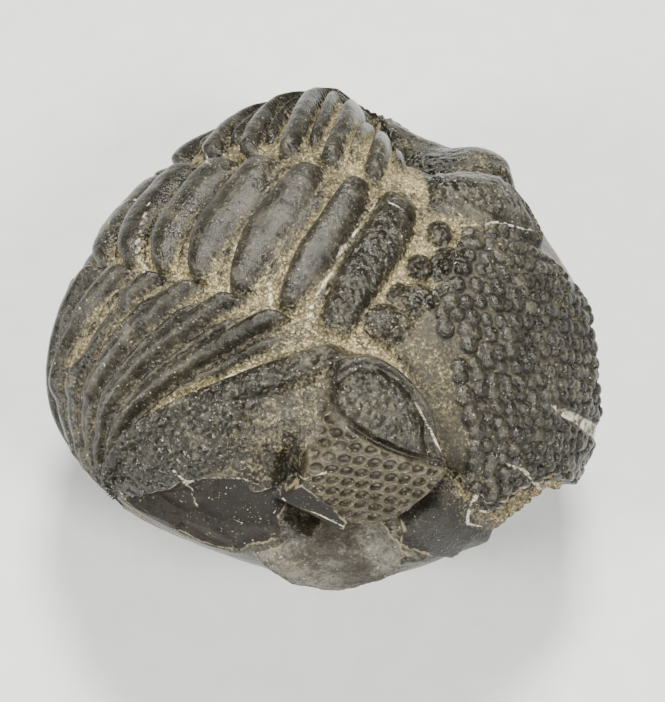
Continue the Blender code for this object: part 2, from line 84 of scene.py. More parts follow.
# The thorax: eleven segments between the head and the tail shield
SEGMENTS = 11
SEGMENT_LENGTH = 6.3
FIRST_RING_ARC = 3.4
TAIL_START_ARC = 69.5
HEAD_MARGIN_TURN = -50

# The middle lobe of the back: its half width in degrees of lean at places along the back
AXIS_ARCS = (-8, 16, 28, 66, 92)
AXIS_LEANS = (19, 18.4, 16.2, 12, 4)

# The glabella, the swollen middle of the head: its half width in degrees of lean
GLABELLA_TURNS = (-14, -6, 4, 15, 27, 42, 58, 70, 78)
GLABELLA_LEANS = (2, 13, 22, 27.4, 29.2, 28.6, 25.0, 18.5, 13)
GLABELLA_MIDDLE = 2.6
GLABELLA_BACK_TURN = 72.5

# Its front edge: the turn at leans counted from its middle
FRONT_LEANS = (0, 5, 12, 20, 30)
FRONT_TURNS = (-12, -6, 12, 17, 18)

# The smooth strip at the glabella's near side: the lean at which the tubercles begin
BARE_STRIP_TURNS = (24, 32, 39, 47, 52, 60, 66)
BARE_STRIP_LEANS = (-30, -22, -20, -16, -13, -7, -5)
LARGE_TUBERCLES = ((51, -13, 1.1), (46, -15, 1.2), (42.3, -16.5, 1.05), (39, -19, 1.0), (36, -21, 0.8),
                   (57, -9, 0.9), (33, -23.5, 0.8))
TUBERCLE_SEED = 5

# The eyes: where each stands, and the radii of its outline, every 30 degrees from its front
EYE_TURN = 57
EYE_LEAN = 33
EYE_RADII = (7.8, 9.8, 8.3, 7.0, 5.9, 5.7, 6.8, 10.3, 8.9, 6.8, 6.0, 6.9)
EYE_MIDDLE = (0.6, 0.2)
EYE_TURN_LENGTH = 0.39
EYE_LEAN_LENGTH = 0.47
LID_SWELL = 0.6
LENS_WALL_SLOPE = 0.09
LENS_SPACING = (1.27, 1.36)
LENS_ROW_ANGLE = -37

# The far eye: lower, set back and out, with a flatter side
FAR_EYE_SHIFT = (5, 5)
FAR_EYE_HEIGHT = 0.6
FAR_WALL_SLOPE = 0.5

# Lengths on the skin for one degree of turn on the middle line and of lean; a length past every other
TURN_LENGTH = 0.45
LEAN_LENGTH = 0.48
FAR_AWAY = 1000

# How far the lines of the shell wander in degrees of turn and of lean, and the size of those waves
WANDER = (0.55, 0.5)
WANDER_SIZE = 7

# How far back the ribs run on their way to the side; the far ones run back more behind the top
NEAR_RIB_SLOPE = 22.5
FAR_RIB_SLOPE = 8.5
FAR_RIB_SLOPE_GAIN = 12

# Heights and depths of the relief
FURROW_DEPTH = 1
HALF_RING_HEIGHT = 0.55
WORN_RIB_HEIGHT = 0.6
GLABELLA_HEIGHT = 1.35
NECK_RING_HEIGHT = 1.7
CHEEK_DEPTH = 0.45
RIM_HEIGHT = 1.5
MOAT_DEPTH = 1.7
MISSING_MARGIN_DEPTH = 2.8
UNDERCUT_DEPTH = 2.3
LEDGE_HEIGHT = 1.3
SHELL_THICKNESS = 0.45
WEDGE_LEANS = (-55.5, -46)
WEDGE_HEIGHTS = (-0.4, 1.9)

# Lumps of the band before the neck ring: turn, lean, half length, half width and height
NECK_LUMPS = ((76.5, 4.2, 1.5, 1.5, 1.3), (74.5, -10.5, 2.9, 2.3, 1.4), (76.0, 14.5, 1.5, 1.9, 1.0),
              (77.5, -3.5, 1.0, 1.4, 0.6), (72.5, -3.0, 2.4, 2.2, 1.1), (71.5, 8.0, 1.8, 2.6, 0.9))

# Pressed-in and swollen places of the far side: turn, lean, half length, half width and height
FAR_DENTS = ((86, 62, 10, 17, -7.0), (49, 61, 7, 8, 2.5), (32, 48, 8, 9, -2.2))

# Broken places, each an outline of turn and lean on the near side
MATRIX_LEDGE = ((22, -62), (29, -58), (31, -51), (28, -43), (20, -41), (14, -37.5), (9, -39), (2, -44.5),
                (-8, -49), (-16, -55), (-12, -62), (2, -66), (12, -67))
UNDERCUT = ((47, -51), (40, -50), (34, -47), (31, -42), (27, -42), (26, -47), (30, -54), (38, -57), (48, -55))
CHEEK_PLATE = ((41, -26), (30, -24), (20, -24), (12, -20), (9, -24), (12, -29), (9, -32), (3, -36), (11, -39),
               (19, -42), (33, -37))
FRONT_STRIP = ((22, -24), (19, -16), (15, -9), (11, -10), (10, -17), (10, -24), (16, -27))
CALCITE_SLAB = ((76, -90), (76, -67), (66, -57), (58, -58), (55, -52), (48, -53), (40, -58), (30, -60),
                (17, -67), (0, -72), (0, -90))
DARK_WEDGE = ((58, -47), (52, -46.5), (45, -46), (38, -46), (34, -47.5), (41, -50.5), (48, -53), (52, -55.5))

# The edge of the missing margin under the front: the turn at places across
MARGIN_LEANS = (-60, -46, -42, -34, -27, -18, -10, -4, 4)
MARGIN_TURNS = (-40, -10, 17, 6, 6, 11, 8, -6, -14)

# Facets of broken stone: the size of each and how far it tilts out
LEDGE_FACETS = (6.0, 0.25)
SLAB_FACETS = (7.0, 0.8)
MARGIN_FACETS = (3.0, 0.5)
LEDGE_LAYER = 0.9

# Veins and chips of white calcite: lines of turn and lean with their half width, and outlines
WHITE_LINES = (
    (((92, 14), (92, 8), (92.5, 1), (92, -5), (92, -11), (91, -15), (88, -20)), 0.11),
    (((113, -7), (110, -13), (108, -19)), 0.15),
    (((145, 0), (142, -8), (139, -15), (129, -20)), 0.16),
    (((150, 1), (160, 4), (164, 0), (156, -9)), 0.12),
    (((146, 22), (141, 15), (133, 11)), 0.13),
    (((99, -44), (96, -37), (89, -29)), 0.12),
    (((85, -66), (75, -67), (65, -57), (60, -55)), 0.13),
    (((75, -68), (62, -71), (38, -74)), 0.11),
    (((45, -73), (34, -66), (44, -57), (49, -53)), 0.07),
    (((58, -54), (50, -53), (43, -49), (37, -47)), 0.08),
    (((55, -53), (59, -47), (58, -42)), 0.08),
    (((28, -24), (21, -28), (18, -29), (14, -27)), 0.12),
    (((20, -26), (17, -21), (19, -15)), 0.16),
    (((29, -16), (24, -14), (21, -14), (15, -13), (10, -12)), 0.13),
    (((101, -13.5), (98.2, -18)), 0.15),
    (((91.5, -16.5), (88.2, -20.5)), 0.13),
    (((60, -21), (57, -22), (49, -24), (42, -25), (39, -26)), 0.10),
    (((91, 12), (88, 13), (85, 13)), 0.08),
    (((75, 22), (68, 22), (60, 26), (50, 31)), 0.07),
)
WHITE_WEDGE = ((31, -1), (26, 1), (16, 4.6), (8, 8), (0, 11), (0, 8.2), (8, 5), (13, 3.3), (20, 1.4),
               (26, -0.4))
WHITE_CHIP = ((76, -66.5), (76, -68.5), (73, -68), (73.5, -66.5))

# Tan sediment: outlines of turn and lean, how thickly it lies, and how softly it ends
DIRT_PATCHES = (
    (((112, 30), (103, 21), (94, 15), (91, 22), (82, 22), (82, 34), (89, 48), (97, 58), (106, 54), (111, 41)),
     0.20, 2.2),
    (((88, -50), (87, -40), (84, -30), (80, -24), (75, -30), (71, -36), (68, -43), (66, -50), (59, -55),
      (60, -60), (66, -57), (76, -54)), 0.17, 2.6),
    (((109, -55), (107, -49), (101, -41), (97, -38), (98, -41), (102, -48), (104, -53)), 0.42, 0.5),
    (((81, -20), (82, -10), (82, 6), (79, 16), (72, 18), (70, 8), (70, -8), (72, -16)), 0.12, 1.2),
    (((156, -36), (142, -27), (126, -24), (127, -34), (131, -43), (142, -50), (164, -54), (166, -40)),
     0.18, 2.5),
    (((70, -14), (60, -22), (45, -25), (28, -26), (26, -20), (44, -19), (52, -12), (60, -7)), 0.10, 1.5),
    (((52, 22), (40, 28), (20, 24), (30, 16), (46, 16)), 0.18, 2.5),
    (((76, -33), (70, -46), (60, -47), (66, -36), (72, -31)), 0.14, 1.0),
    (((175, 30), (240, 35), (250, 10), (240, -20), (200, -25), (180, -5)), 0.2, 4.0),
    (((50, 36), (80, 34), (90, 45), (88, 75), (40, 75)), 0.14, 3.0),
    (((24, -62), (14, -65), (6, -62), (12, -56), (26, -54)), 0.35, 1.5),
)

# Worn and broken ribs: outlines, and how much of their relief is lost
WORN_RIBS = (
    (((160, -48), (143, -43), (130, -28), (140, -24), (156, -34)), 0.75),
    (((175, -50), (135, -54), (125, -64), (150, -72), (180, -66)), 0.6),
)

# What each vertex carries for the stone's finish
LOOKS = ("dirt", "granule", "glabella", "wart", "lens", "pit", "lid", "ledge", "plate", "slab", "shard",
         "rough", "vein")

# The mesh: cuts across each face of its cube, and the parts made finer, as ranges of turn and lean
CUBE_CUTS = 53
BACK_AND_HEAD = (-25, 175, -90, 90)
WARTY_DOME = (-12, 80, -30, 30)
NEAR_EYE = (26, 82, -52, -18)
NEAR_LENSES = (30, 72, -50, -24)

# Sizes of the patterns in the stone
FINE_CLOUD = 0.35 * MM
MIDDLE_CLOUD = 1.4 * MM
BROAD_CLOUD = 6 * MM
EDGE_WAVE = 1.6 * MM
EDGE_GAP = 2.4 * MM
VEIN_GAP = MM
# Size of the bright specks, partly pale grains and partly painted glints
FLECK_AND_GLINT_SIZE = 0.26 * MM
GRANULE_SIZE = 0.85 * MM
KNOB_SIZE = 0.6 * MM
CHIP_SIZE = 0.4 * MM
SAND_GRAIN = 0.19 * MM
SAND_CLOUD = 1.8 * MM
FLOOR_CLOUD = 4 * MM

# The stage: where camera and lamps aim, and each lamp's place, size and setting for its power
AIM = ((BODY_CENTRE_SHIFT[0] - 2.2) * MM, (BODY_CENTRE_SHIFT[1] - 0.8) * MM, 20.2 * MM)
LAMPS = (("key_lamp", (-0.06, 0.14, 0.34), 0.08, "key_power"),
         ("near_lamp", (-0.14, -0.26, 0.24), 0.09, "near_power"),
         ("front_lamp", (0.24, -0.08, 0.28), 0.09, "front_power"))
LAMP_COLOUR = (1.0, 0.98, 0.90)
SKY_COLOUR = (1.0, 0.98, 0.94, 1)
FLOOR_HALF = 1.5


def smooth(value, start, end):
    """Rise from 0 at start to 1 at end."""
    part = np.clip((value - start) / (end - start), 0, 1)
    return part * part * (3 - 2 * part)


def blend(first, second, share):
    return first * (1 - share) + second * share


def bump(distance, power=2.0, shoulder=0.7):
    """A rounded rise, 1 in the middle and 0 from distance 1 outwards."""
    return np.clip(1 - np.abs(distance) ** power, 0, 1) ** shoulder


def groove(distance, half):
    return np.exp(-(distance / half) ** 2)


def leaning(distance, crest):
    """A distance from -1 to 1 with its middle moved to the crest, so one flank is the steeper."""
    return np.where(distance < crest, (distance - crest) / (1 + crest), (distance - crest) / (1 - crest))


def roll_point(turn, lean):
    """The point of the smooth roll at a turn round it and a lean to the side, both in degrees."""
    u, v = np.radians(turn), np.radians(lean)
    cosine, sine = np.cos(u), np.sin(u)
    fullness = 1 - ROLL_CORNER_LOSS * np.sin(2 * u) ** 2
    along = np.where(cosine > 0, ROLL_FRONT, ROLL_REAR) * cosine * fullness
    rise = np.where(sine > 0, ROLL_TOP, ROLL_UNDER) * sine * fullness
    from_head = (np.asarray(turn, float) - HEAD_WIDTH_TURN + 180) % 360 - 180
    towards = np.cos(v)
    extra = blend(0.75, np.exp(-(from_head / HEAD_WIDTH_SPREAD) ** 2), smooth(towards, 0, 0.4))
    half = HALF_WIDTH + HEAD_EXTRA_WIDTH * extra
    x = SIDE_POLE_X + towards * (along - SIDE_POLE_X)
    z = SIDE_POLE_Z + towards * (rise + ROLL_CENTRE_HEIGHT - SIDE_POLE_Z)
    return np.stack(np.broadcast_arrays(x, half * np.sin(v), z), -1)


def back_lengths():
    """Turns round the roll, and the length along the back at each, counted from the top."""
    turns = np.arange(-90.0, 361.0, 1.0)
    steps = np.linalg.norm(np.diff(roll_point(turns, 0.0), axis=0), axis=1)
    lengths = np.concatenate([[0.0], np.cumsum(steps)])
    return turns, lengths - np.interp(90, turns, lengths)


BACK_TURNS, BACK_LENGTHS = back_lengths()


def ripple(points, size, seed):
    """Smooth noise between -1 and 1 with waves of about the given size."""
    return np.array([noise.noise(Vector(point)) for point in points / size + seed])


def sphere_angles(unit):
    """The turn and the lean of directions from the sphere's centre."""
    turn = np.degrees(np.arctan2(unit[:, 2], unit[:, 0]))
    return turn, np.degrees(np.arcsin(np.clip(unit[:, 1], -1, 1)))


def direction_point(direction):
    """The point of the smooth roll that a direction from the sphere's centre stands for."""
    return roll_point(*sphere_angles(direction / np.linalg.norm(direction, axis=1, keepdims=True)))


def outward_normal(unit, step=0.004):
    """The normal of the smooth roll, from points a small step to each side."""
    first = np.cross(unit, np.array([0.31, 0.87, 0.38]))
    first /= np.linalg.norm(first, axis=1, keepdims=True)
    second = np.cross(unit, first)
    one = direction_point(unit + step * first) - direction_point(unit - step * first)
    other = direction_point(unit + step * second) - direction_point(unit - step * second)
    normal = np.cross(one, other)
    normal /= np.linalg.norm(normal, axis=1, keepdims=True)
    return normal * np.sign((normal * unit).sum(1))[:, None]


class Skin:
    """Where each vertex lies on the shell, and what the stone looks like there.

    turn and lean are its angles on the roll, arc is its length along the back from the top, out is
    the lean without its sign, axis is the middle lobe's half width there and across the share of it.
    side goes from 0 at the middle lobe's edge to 1 at the side, and fan is the length along the back
    of the rib line that runs through it. wave is the small noise that makes broken edges ragged.
    looks holds one value for each vertex under the name of each finish.
    """

    def __init__(self, unit, sizes):
        self.sizes = sizes
        turn, self.lean = sphere_angles(unit)
        self.turn = (turn - HEAD_MARGIN_TURN) % 360 + HEAD_MARGIN_TURN
        self.near = self.lean < 0
        self.base = roll_point(self.turn, self.lean)
        self.normal = outward_normal(unit)
        wander = smooth(90 - np.abs(self.lean), 4, 20)
        self.turn = self.turn + WANDER[0] * wander * ripple(self.base, WANDER_SIZE, 3.1)
        self.lean = self.lean + WANDER[1] * wander * ripple(self.base, WANDER_SIZE, 11.7)
        self.out = np.abs(self.lean)
        self.arc = np.interp(self.turn, BACK_TURNS, BACK_LENGTHS)
        self.axis = np.interp(self.arc, AXIS_ARCS, AXIS_LEANS)
        self.across = self.out / self.axis
        self.side = np.clip((self.out - self.axis) / (90 - self.axis), 0, 1)
        far_slope = FAR_RIB_SLOPE + FAR_RIB_SLOPE_GAIN * smooth(self.arc, 8, 26)
        self.fan = self.arc - np.where(self.near, NEAR_RIB_SLOPE, far_slope) * self.side
        self.wave = ripple(self.base, 2.0, 15.0)
        self.looks = {}

    def raise_look(self, name, value):
        """Keep the greater of a look's value so far and a new one."""
        self.looks[name] = np.maximum(self.looks.get(name, 0), value)

    def spread_from(self, turn, lean, half_length, half_width):
        """How far each vertex is from a place, 1 being the rim of an oval of these half sizes."""
        there = math.radians(lean)
        apart = np.radians(turn - self.turn)
        own = np.radians(self.lean)
        ahead = np.degrees(np.cos(own) * np.sin(apart)) * TURN_LENGTH
        outward = np.sin(own) * math.cos(there) - np.cos(own) * math.sin(there) * np.cos(apart)
        facing = np.sin(own) * math.sin(there) + np.cos(own) * math.cos(there) * np.cos(apart)
        outward = np.where(facing > 0, np.degrees(outward) * LEAN_LENGTH, FAR_AWAY)
        return np.hypot(ahead / half_length, outward / half_width)

    def flattened(self, points):
        """Lengths on the skin for an outline or line of turns and leans, and for every vertex."""
        points = np.array(points, float)
        scale = np.array([TURN_LENGTH * math.cos(math.radians(points[:, 1].mean())), LEAN_LENGTH])
        return points * scale, np.stack([self.turn, self.lean], 1) * scale

    def depth_in(self, outline):
        """How far inside an outline of turns and leans each vertex is, negative outside it."""
        starts, point = self.flattened(outline)
        ends = np.roll(starts, -1, 0)
        inside = np.zeros(len(point), bool)
        for start, end in zip(starts, ends):
            crosses = (start[1] > point[:, 1]) != (end[1] > point[:, 1])
            share = (point[:, 1] - start[1]) / (end[1] - start[1] or 1)
            inside ^= crosses & (point[:, 0] < start[0] + share * (end[0] - start[0]))
        nearest = distance_to_edges(point, starts, ends)
        return np.where(inside, nearest, -nearest)

    def distance_to_line(self, line):
        """How far each vertex is from a line of turns and leans."""
        corners, point = self.flattened(line)
        return distance_to_edges(point, corners[:-1], corners[1:])


def distance_to_edges(point, starts, ends):
    nearest = np.full(len(point), FAR_AWAY)
    for start, edge in zip(starts, ends - starts):
        away = point - start
        along = np.clip(away @ edge / (edge @ edge), 0, 1)
        nearest = np.minimum(nearest, np.linalg.norm(away - along[:, None] * edge, axis=1))
    return nearest


def rings(skin):
    """The leaf-shaped rings of the middle lobe with a narrow half ring before each: 0 to 1 both."""
    inner = np.minimum(skin.across, 1)
    bow = np.where(skin.near, -(0.6 + 0.1 * np.clip(skin.arc, 0, 21)), 0.4) * inner ** 2
    phase = (skin.arc - bow - FIRST_RING_ARC) / SEGMENT_LENGTH
    number = np.round(np.clip(phase, 0, SEGMENTS - 1))
    step = phase - number
    taper = 1 - np.where(skin.near, 0.5, 0.42) * inner ** 2.2
    half = np.where(number == 0, 0.35, 0.425) * taper
    ends = bump(skin.across, 7, 0.6)
    whole = bump(leaning(np.clip(step / half, -1, 1), 0.35), 2.0, 0.6) * ends
    between = bump((step + 0.48) / 0.11) * bump(skin.across / 0.9, 6)
    return whole, between


def ribs(skin):
    """The side bands of the thorax: a wide band and a thin one to each segment, 0 to 1 both."""
    near_bend = 0.6 + 0.1 * np.clip(skin.fan, 0, 21)
    far_bend = 0.1 * np.clip(skin.fan, 3, 24) - 0.3
    phase = (skin.fan + np.where(skin.near, near_bend, far_bend) - FIRST_RING_ARC) / SEGMENT_LENGTH
    phase = phase + np.where(skin.near, 0.06, 0.12)
    step = phase - np.round(np.clip(phase, 0, SEGMENTS - 1))
    wide_half = np.where(skin.near, 0.25 + 0.045 * smooth(skin.side, 0.03, 0.2), 0.23)
    wide_half = wide_half * (0.55 + 0.45 * smooth(skin.side, 0.0, 0.03))
    wide = bump(leaning(np.clip(step / wide_half, -1, 1), 0.12), 2.6, 0.55) * smooth(skin.side, 0.0, 0.025)
    thin_step = (step + np.where(skin.near, 0.5, 0.43) + 0.5) % 1 - 0.5
    thin_half = np.where(skin.near, 0.145, 0.135)
    thin_height = np.where(skin.near, 0.52, 0.65)
    thin = thin_height * bump(thin_step / thin_half, 2.2, 0.6) * smooth(skin.side, 0.05, 0.13)
    fade = 1 - 0.5 * smooth(skin.side, 0.4, 0.95)
    return wide * fade, thin * fade


def thorax(skin):
    """The relief of the ringed back, and the crests that its dirt leaves bare."""
    whole, between = rings(skin)
    wide, thin = ribs(skin)
    on_axis = skin.across < 1
    crest = np.where(on_axis, np.maximum(whole, 0.4 * between), np.maximum(wide, thin))
    middle = np.maximum(skin.sizes.ring_height / MM * whole, HALF_RING_HEIGHT * between)
    height = np.where(on_axis, middle, skin.sizes.rib_height / MM * np.maximum(wide, thin))
    worn = 0
    for outline, share in WORN_RIBS:
        worn = np.maximum(worn, share * smooth(skin.depth_in(outline), -1, 1.5))
    height = blend(height, WORN_RIB_HEIGHT, worn)
    skin.looks["crest"] = crest * (1 - 0.6 * worn)
    return height - FURROW_DEPTH * (1 + 0.5 * groove(skin.out - skin.axis, 1.6))


def tail(skin):
    """The tail shield: a narrowing middle lobe with rings, flat ribs beside it and a smooth border."""
    along = skin.arc - TAIL_START_ARC
    half = np.interp(along, (0, 24), (12, 4))
    inside = skin.out / half
    fade = 1 - smooth(along, 20, 26)
    ring = 0.5 + 0.5 * np.cos(2 * math.pi * along / 3.1)
    middle = (0.9 + 0.5 * ring) * bump(inside, 4, 0.6) * fade
    fan = along - 0.16 * (skin.out - half)
    rib = bump(((fan / 3.6 + 0.5) % 1 - 0.5) / 0.36)
    border = smooth(skin.out, 56, 70)
    beside = 0.75 * rib * smooth(inside, 1.0, 1.25) * (1 - border) * fade + 0.4 * border
    return np.maximum(middle, beside) - 0.3


def glabella(skin):
    """How far in each vertex is on the glabella, from 0 in its furrows to 1 on top."""
    away = np.abs(skin.lean - GLABELLA_MIDDLE)
    half = np.interp(skin.turn, GLABELLA_TURNS, GLABELLA_LEANS)
    sides = (half - away) * LEAN_LENGTH
    front = (skin.turn - np.interp(away, FRONT_LEANS, FRONT_TURNS)) * TURN_LENGTH
    back = (GLABELLA_BACK_TURN - skin.turn) * TURN_LENGTH
    edge = np.minimum(np.minimum(sides, front), back)
    return smooth(edge, -0.3, 2.4) ** 0.8


def neck_ring(skin):
    """The ring at the back of the head."""
    bow = np.where(skin.near, -1.5, 0.8) * np.minimum(skin.across, 1) ** 2
    half = 2.7 * (1 - 0.35 * np.minimum(skin.across, 1) ** 2.5)
    section = leaning(np.clip((skin.arc - bow + 1.85) / half, -1, 1), 0.2)
    return bump(section, 2.4, 0.6) * bump(skin.across / 0.97, 8, 0.6)


def head_back_edge(side):
    """The rib-line length at which the head ends and the thorax begins."""
    return -4.2 + 3.6 * side + 5.2 * side * side


def cheek_lobe(skin):
    """Height of the swollen band along the back of each cheek, and how far in each vertex is."""
    behind = head_back_edge(skin.side) - skin.fan
    low_sides = (0, 0.1, 0.2, 0.3, 0.42, 0.52, 0.7, 1.0)
    low_fans = (-7.4, -7.6, -8.2, -9.6, -13.0, -18.0, -26, -32)
    before = skin.fan - np.interp(skin.side, low_sides, low_fans)
    body = smooth(behind, -0.15, 1) * smooth(before, -1.5, 2.5)
    crest = bump((behind - 2) / 3, 2.2, 0.6)
    start = smooth(skin.side, 0.0, 0.05)
    swell = np.where(skin.near, 0.85 * body + 0.55 * crest, 0.15 * body)
    return blend(-FURROW_DEPTH, swell - 0.6, start), body * start


def eye_radius(angle):
    """The radius of the eye's outline, a smooth closed curve through its radii."""
    waves = np.fft.rfft(EYE_RADII) / len(EYE_RADII)
    radius = np.full(angle.shape, waves[0].real)
    for number in range(1, len(waves)):
        share = 1 if number == len(waves) - 1 else 2
        wave = waves[number]
        radius += share * (wave.real * np.cos(number * angle) - wave.imag * np.sin(number * angle))
    return radius


def lens_distance(forward, outward):
    """How far each vertex is from the nearest lens, whose rows are set half a step apart."""
    turned = math.radians(LENS_ROW_ANGLE)
    along = (forward * math.cos(turned) + outward * math.sin(turned)) / LENS_SPACING[0]
    across = (outward * math.cos(turned) - forward * math.sin(turned)) / LENS_SPACING[1]
    nearest = np.full(len(along), FAR_AWAY)
    for row in (np.floor(across), np.floor(across) + 1):
        shift = 0.5 * (row % 2)
        column = np.round(along - shift) + shift
        away = np.hypot((along - column) * LENS_SPACING[0], (across - row) * LENS_SPACING[1])
        nearest = np.minimum(nearest, away)
    return nearest


def lens_hollows(skin, forward, outward):
    """How far in each vertex is in a lens, 0 to 1, and how far the lenses sink the wall."""
    away = lens_distance(forward, outward)
    hollow = bump(away / 0.55, 4, 0.8) * (1 - 0.6 * bump(away / 0.42, 2, 0.8))
    return hollow, skin.sizes.lens_depth / MM * (hollow - 0.3 * groove(away - 0.63, 0.12))


def raise_eye(skin, height, side):
    """Put one eye on the head: a lid inside, the lens wall outside, and a moat round its foot."""
    far = side > 0
    set_back, set_out = FAR_EYE_SHIFT if far else (0, 0)
    tall = FAR_EYE_HEIGHT if far else 1
    forward = (EYE_TURN + set_back - skin.turn) * EYE_TURN_LENGTH + 0.1 * skin.wave
    outward = (side * skin.lean - EYE_LEAN - set_out) * EYE_LEAN_LENGTH
    ahead = forward - EYE_MIDDLE[0]
    beside = outward - EYE_MIDDLE[1]
    angle = np.arctan2(beside, ahead)
    inside = eye_radius(angle) - np.hypot(ahead, beside)
    ridge = -0.85 - 0.036 * (forward + 3.2) ** 2 - 0.2 * np.minimum(forward + 4.5, 0) ** 2
    past_ridge = outward - ridge
    lid = smooth(-past_ridge, -0.1, 0.35)
    eye_height = skin.sizes.eye_height / MM
    lid_top = (eye_height - LID_SWELL) * smooth(inside, 0, 0.9)
    lid_top = lid_top + LID_SWELL * smooth(inside, 1, 5)
    lid_top = lid_top - 0.4 * groove(inside - 1.7, 0.45)
    wall_slope = FAR_WALL_SLOPE if far else LENS_WALL_SLOPE
    lens_top = eye_height - 0.15 - wall_slope * np.clip(past_ridge, 0, 9)
    lens_top = lens_top - 0.55 * groove(past_ridge - 0.3, 0.35)
    hollow, pit = lens_hollows(skin, forward, outward)
    whole = smooth(-skin.depth_in(DARK_WEDGE), -0.1, 0.25)
    pitted = smooth(past_ridge, 0.7, 1.2) * smooth(inside, 0.25, 0.9) * whole
    steep = np.maximum(smooth(np.cos(angle - math.radians(42)), -0.30, 0.35), lid) * tall
    body = blend(smooth(inside, -0.6, 4), smooth(inside, -0.4, 0.6), steep)
    moat = groove(inside + 1.3, 1.1) * smooth(np.cos(angle - math.radians(52)), -0.2, 0.5)
    raised = blend(height - MOAT_DEPTH * tall ** 4 * moat, blend(lens_top, lid_top, lid) * tall, body)
    raised = raised - pit * pitted * (1 - lid)
    own = (np.sign(skin.lean) == side) & (inside > -5)
    inner = 0 if far else smooth(inside, 0, 0.5) * own
    skin.raise_look("lens", inner * (1 - lid) * whole * smooth(past_ridge, 0.4, 0.9))
    skin.raise_look("pit", hollow * pitted * own)
    skin.raise_look("eye", smooth(inside, -0.2, 0.5) * own * (lid if far else 1))
    skin.raise_look("lid", smooth(inside, 1.5, 2.3) * own * lid)
    return np.where(own, raised, height)


def tubercle_sites():
    """Where the glabella's wart-like tubercles stand: turn, lean and radius."""
    random = np.random.RandomState(TUBERCLE_SEED)
    sites = list(LARGE_TUBERCLES)
    turn, row = 71.0, 0
    while turn > -12:
        size = np.interp(turn, (-5, 15, 30, 72), (1.1, 1.35, 1.55, 1.85))
        spread = 1.06 * size / 0.49
        for place in range(-int(34 / spread), int(34 / spread) + 1):
            lean = GLABELLA_MIDDLE + (place + 0.5 * (row % 2)) * spread + random.uniform(-0.6, 0.6)
            site_turn = turn + random.uniform(-0.8, 0.8)
            radius = 0.53 * size * random.uniform(0.78, 1.12)
            half = np.interp(site_turn, GLABELLA_TURNS, GLABELLA_LEANS)
            bare_to = np.interp(site_turn, BARE_STRIP_TURNS, BARE_STRIP_LEANS)
            if abs(lean - GLABELLA_MIDDLE) < half - 1 and lean > bare_to:
                sites.append((site_turn, lean, radius))
        turn -= size / 0.5 * 0.9
        row += 1
    return sites


def tubercles(skin):
    """The height of the tubercles on the glabella, with none on the white wedge."""
    height = np.zeros(len(skin.turn))
    wart = np.zeros(len(skin.turn))
    place = roll_point(skin.turn, skin.lean)
    for turn, lean, radius in tubercle_sites():
        centre = roll_point(turn, lean)
        close = np.flatnonzero(np.abs(place - centre).max(1) < radius)
        away = np.linalg.norm(place[close] - centre, axis=1) / radius
        height[close] = np.maximum(height[close], skin.sizes.tubercle_height * radius * bump(away, 2.3, 0.55))
        wart[close] = np.maximum(wart[close], bump(away, 4, 1))
    bare = smooth(-skin.depth_in(WHITE_WEDGE), -0.1, 0.5)
    skin.looks["wart"] = wart * bare
    return height * bare


def head(skin):
    """The relief of the head, from its furrows up."""
    dome = glabella(skin)
    neck = neck_ring(skin)
    lobe, lobe_body = cheek_lobe(skin)
    height = np.maximum(GLABELLA_HEIGHT * dome, NECK_RING_HEIGHT * neck) - FURROW_DEPTH
    lumps = 0
    for turn, lean, half_length, half_width, tall in NECK_LUMPS:
        lump = bump(skin.spread_from(turn, lean, half_length, half_width), 2.4)
        height = np.maximum(height, tall * lump - FURROW_DEPTH)
        lumps = np.maximum(lumps, lump)
    cheek = smooth(skin.side, 0.03, 0.2) * smooth(-skin.fan, 5, 8)
    height = np.maximum.reduce([height, blend(-FURROW_DEPTH, -CHEEK_DEPTH, cheek), lobe])
    half = np.interp(skin.turn, GLABELLA_TURNS, GLABELLA_LEANS)
    away = np.abs(skin.lean - GLABELLA_MIDDLE)
    front_cheek = smooth(away, half + 1.5, half + 7) * smooth(-skin.turn, -38, -29)
    front_top = blend(-FURROW_DEPTH, np.where(skin.near, 0.1, -0.8), front_cheek)
    rim = bump((skin.turn + 21) / 9) * (1 - smooth(skin.out, 60, 75))
    height = np.maximum.reduce([height, front_top, RIM_HEIGHT * rim - FURROW_DEPTH])
    for side in (-1, 1):
        height = raise_eye(skin, height, side)
    height = height + tubercles(skin)
    skin.looks["glabella"] = dome
    skin.looks["granule"] = np.maximum.reduce([lobe_body, 0.7 * skin.looks["lid"], 0.6 * neck, lumps])
    skin.looks["head_crest"] = np.maximum.reduce([
        0.75 * dome, neck, lobe_body, lumps, 0.9 * skin.looks["eye"], 0.8 * front_cheek, rim, 0.38 * cheek])
    return height - 0.8 * groove(skin.turn - HEAD_MARGIN_TURN, 3)


def facets(points, size, seed):
    """Flat tilted faces like those of broken rock: a height from -1 to 1, and a tone for each face."""
    heights = np.empty(len(points))
    tones = np.empty(len(points))
    for index, point in enumerate(points / size + seed):
        centre = noise.voronoi(Vector(point))[1][0]
        tilt = noise.cell_vector(centre * 7.3)
        heights[index] = tilt.dot(Vector(point) - centre) + 0.5 * (tilt.x - 0.5)
        tones[index] = tilt.z
    return heights, tones


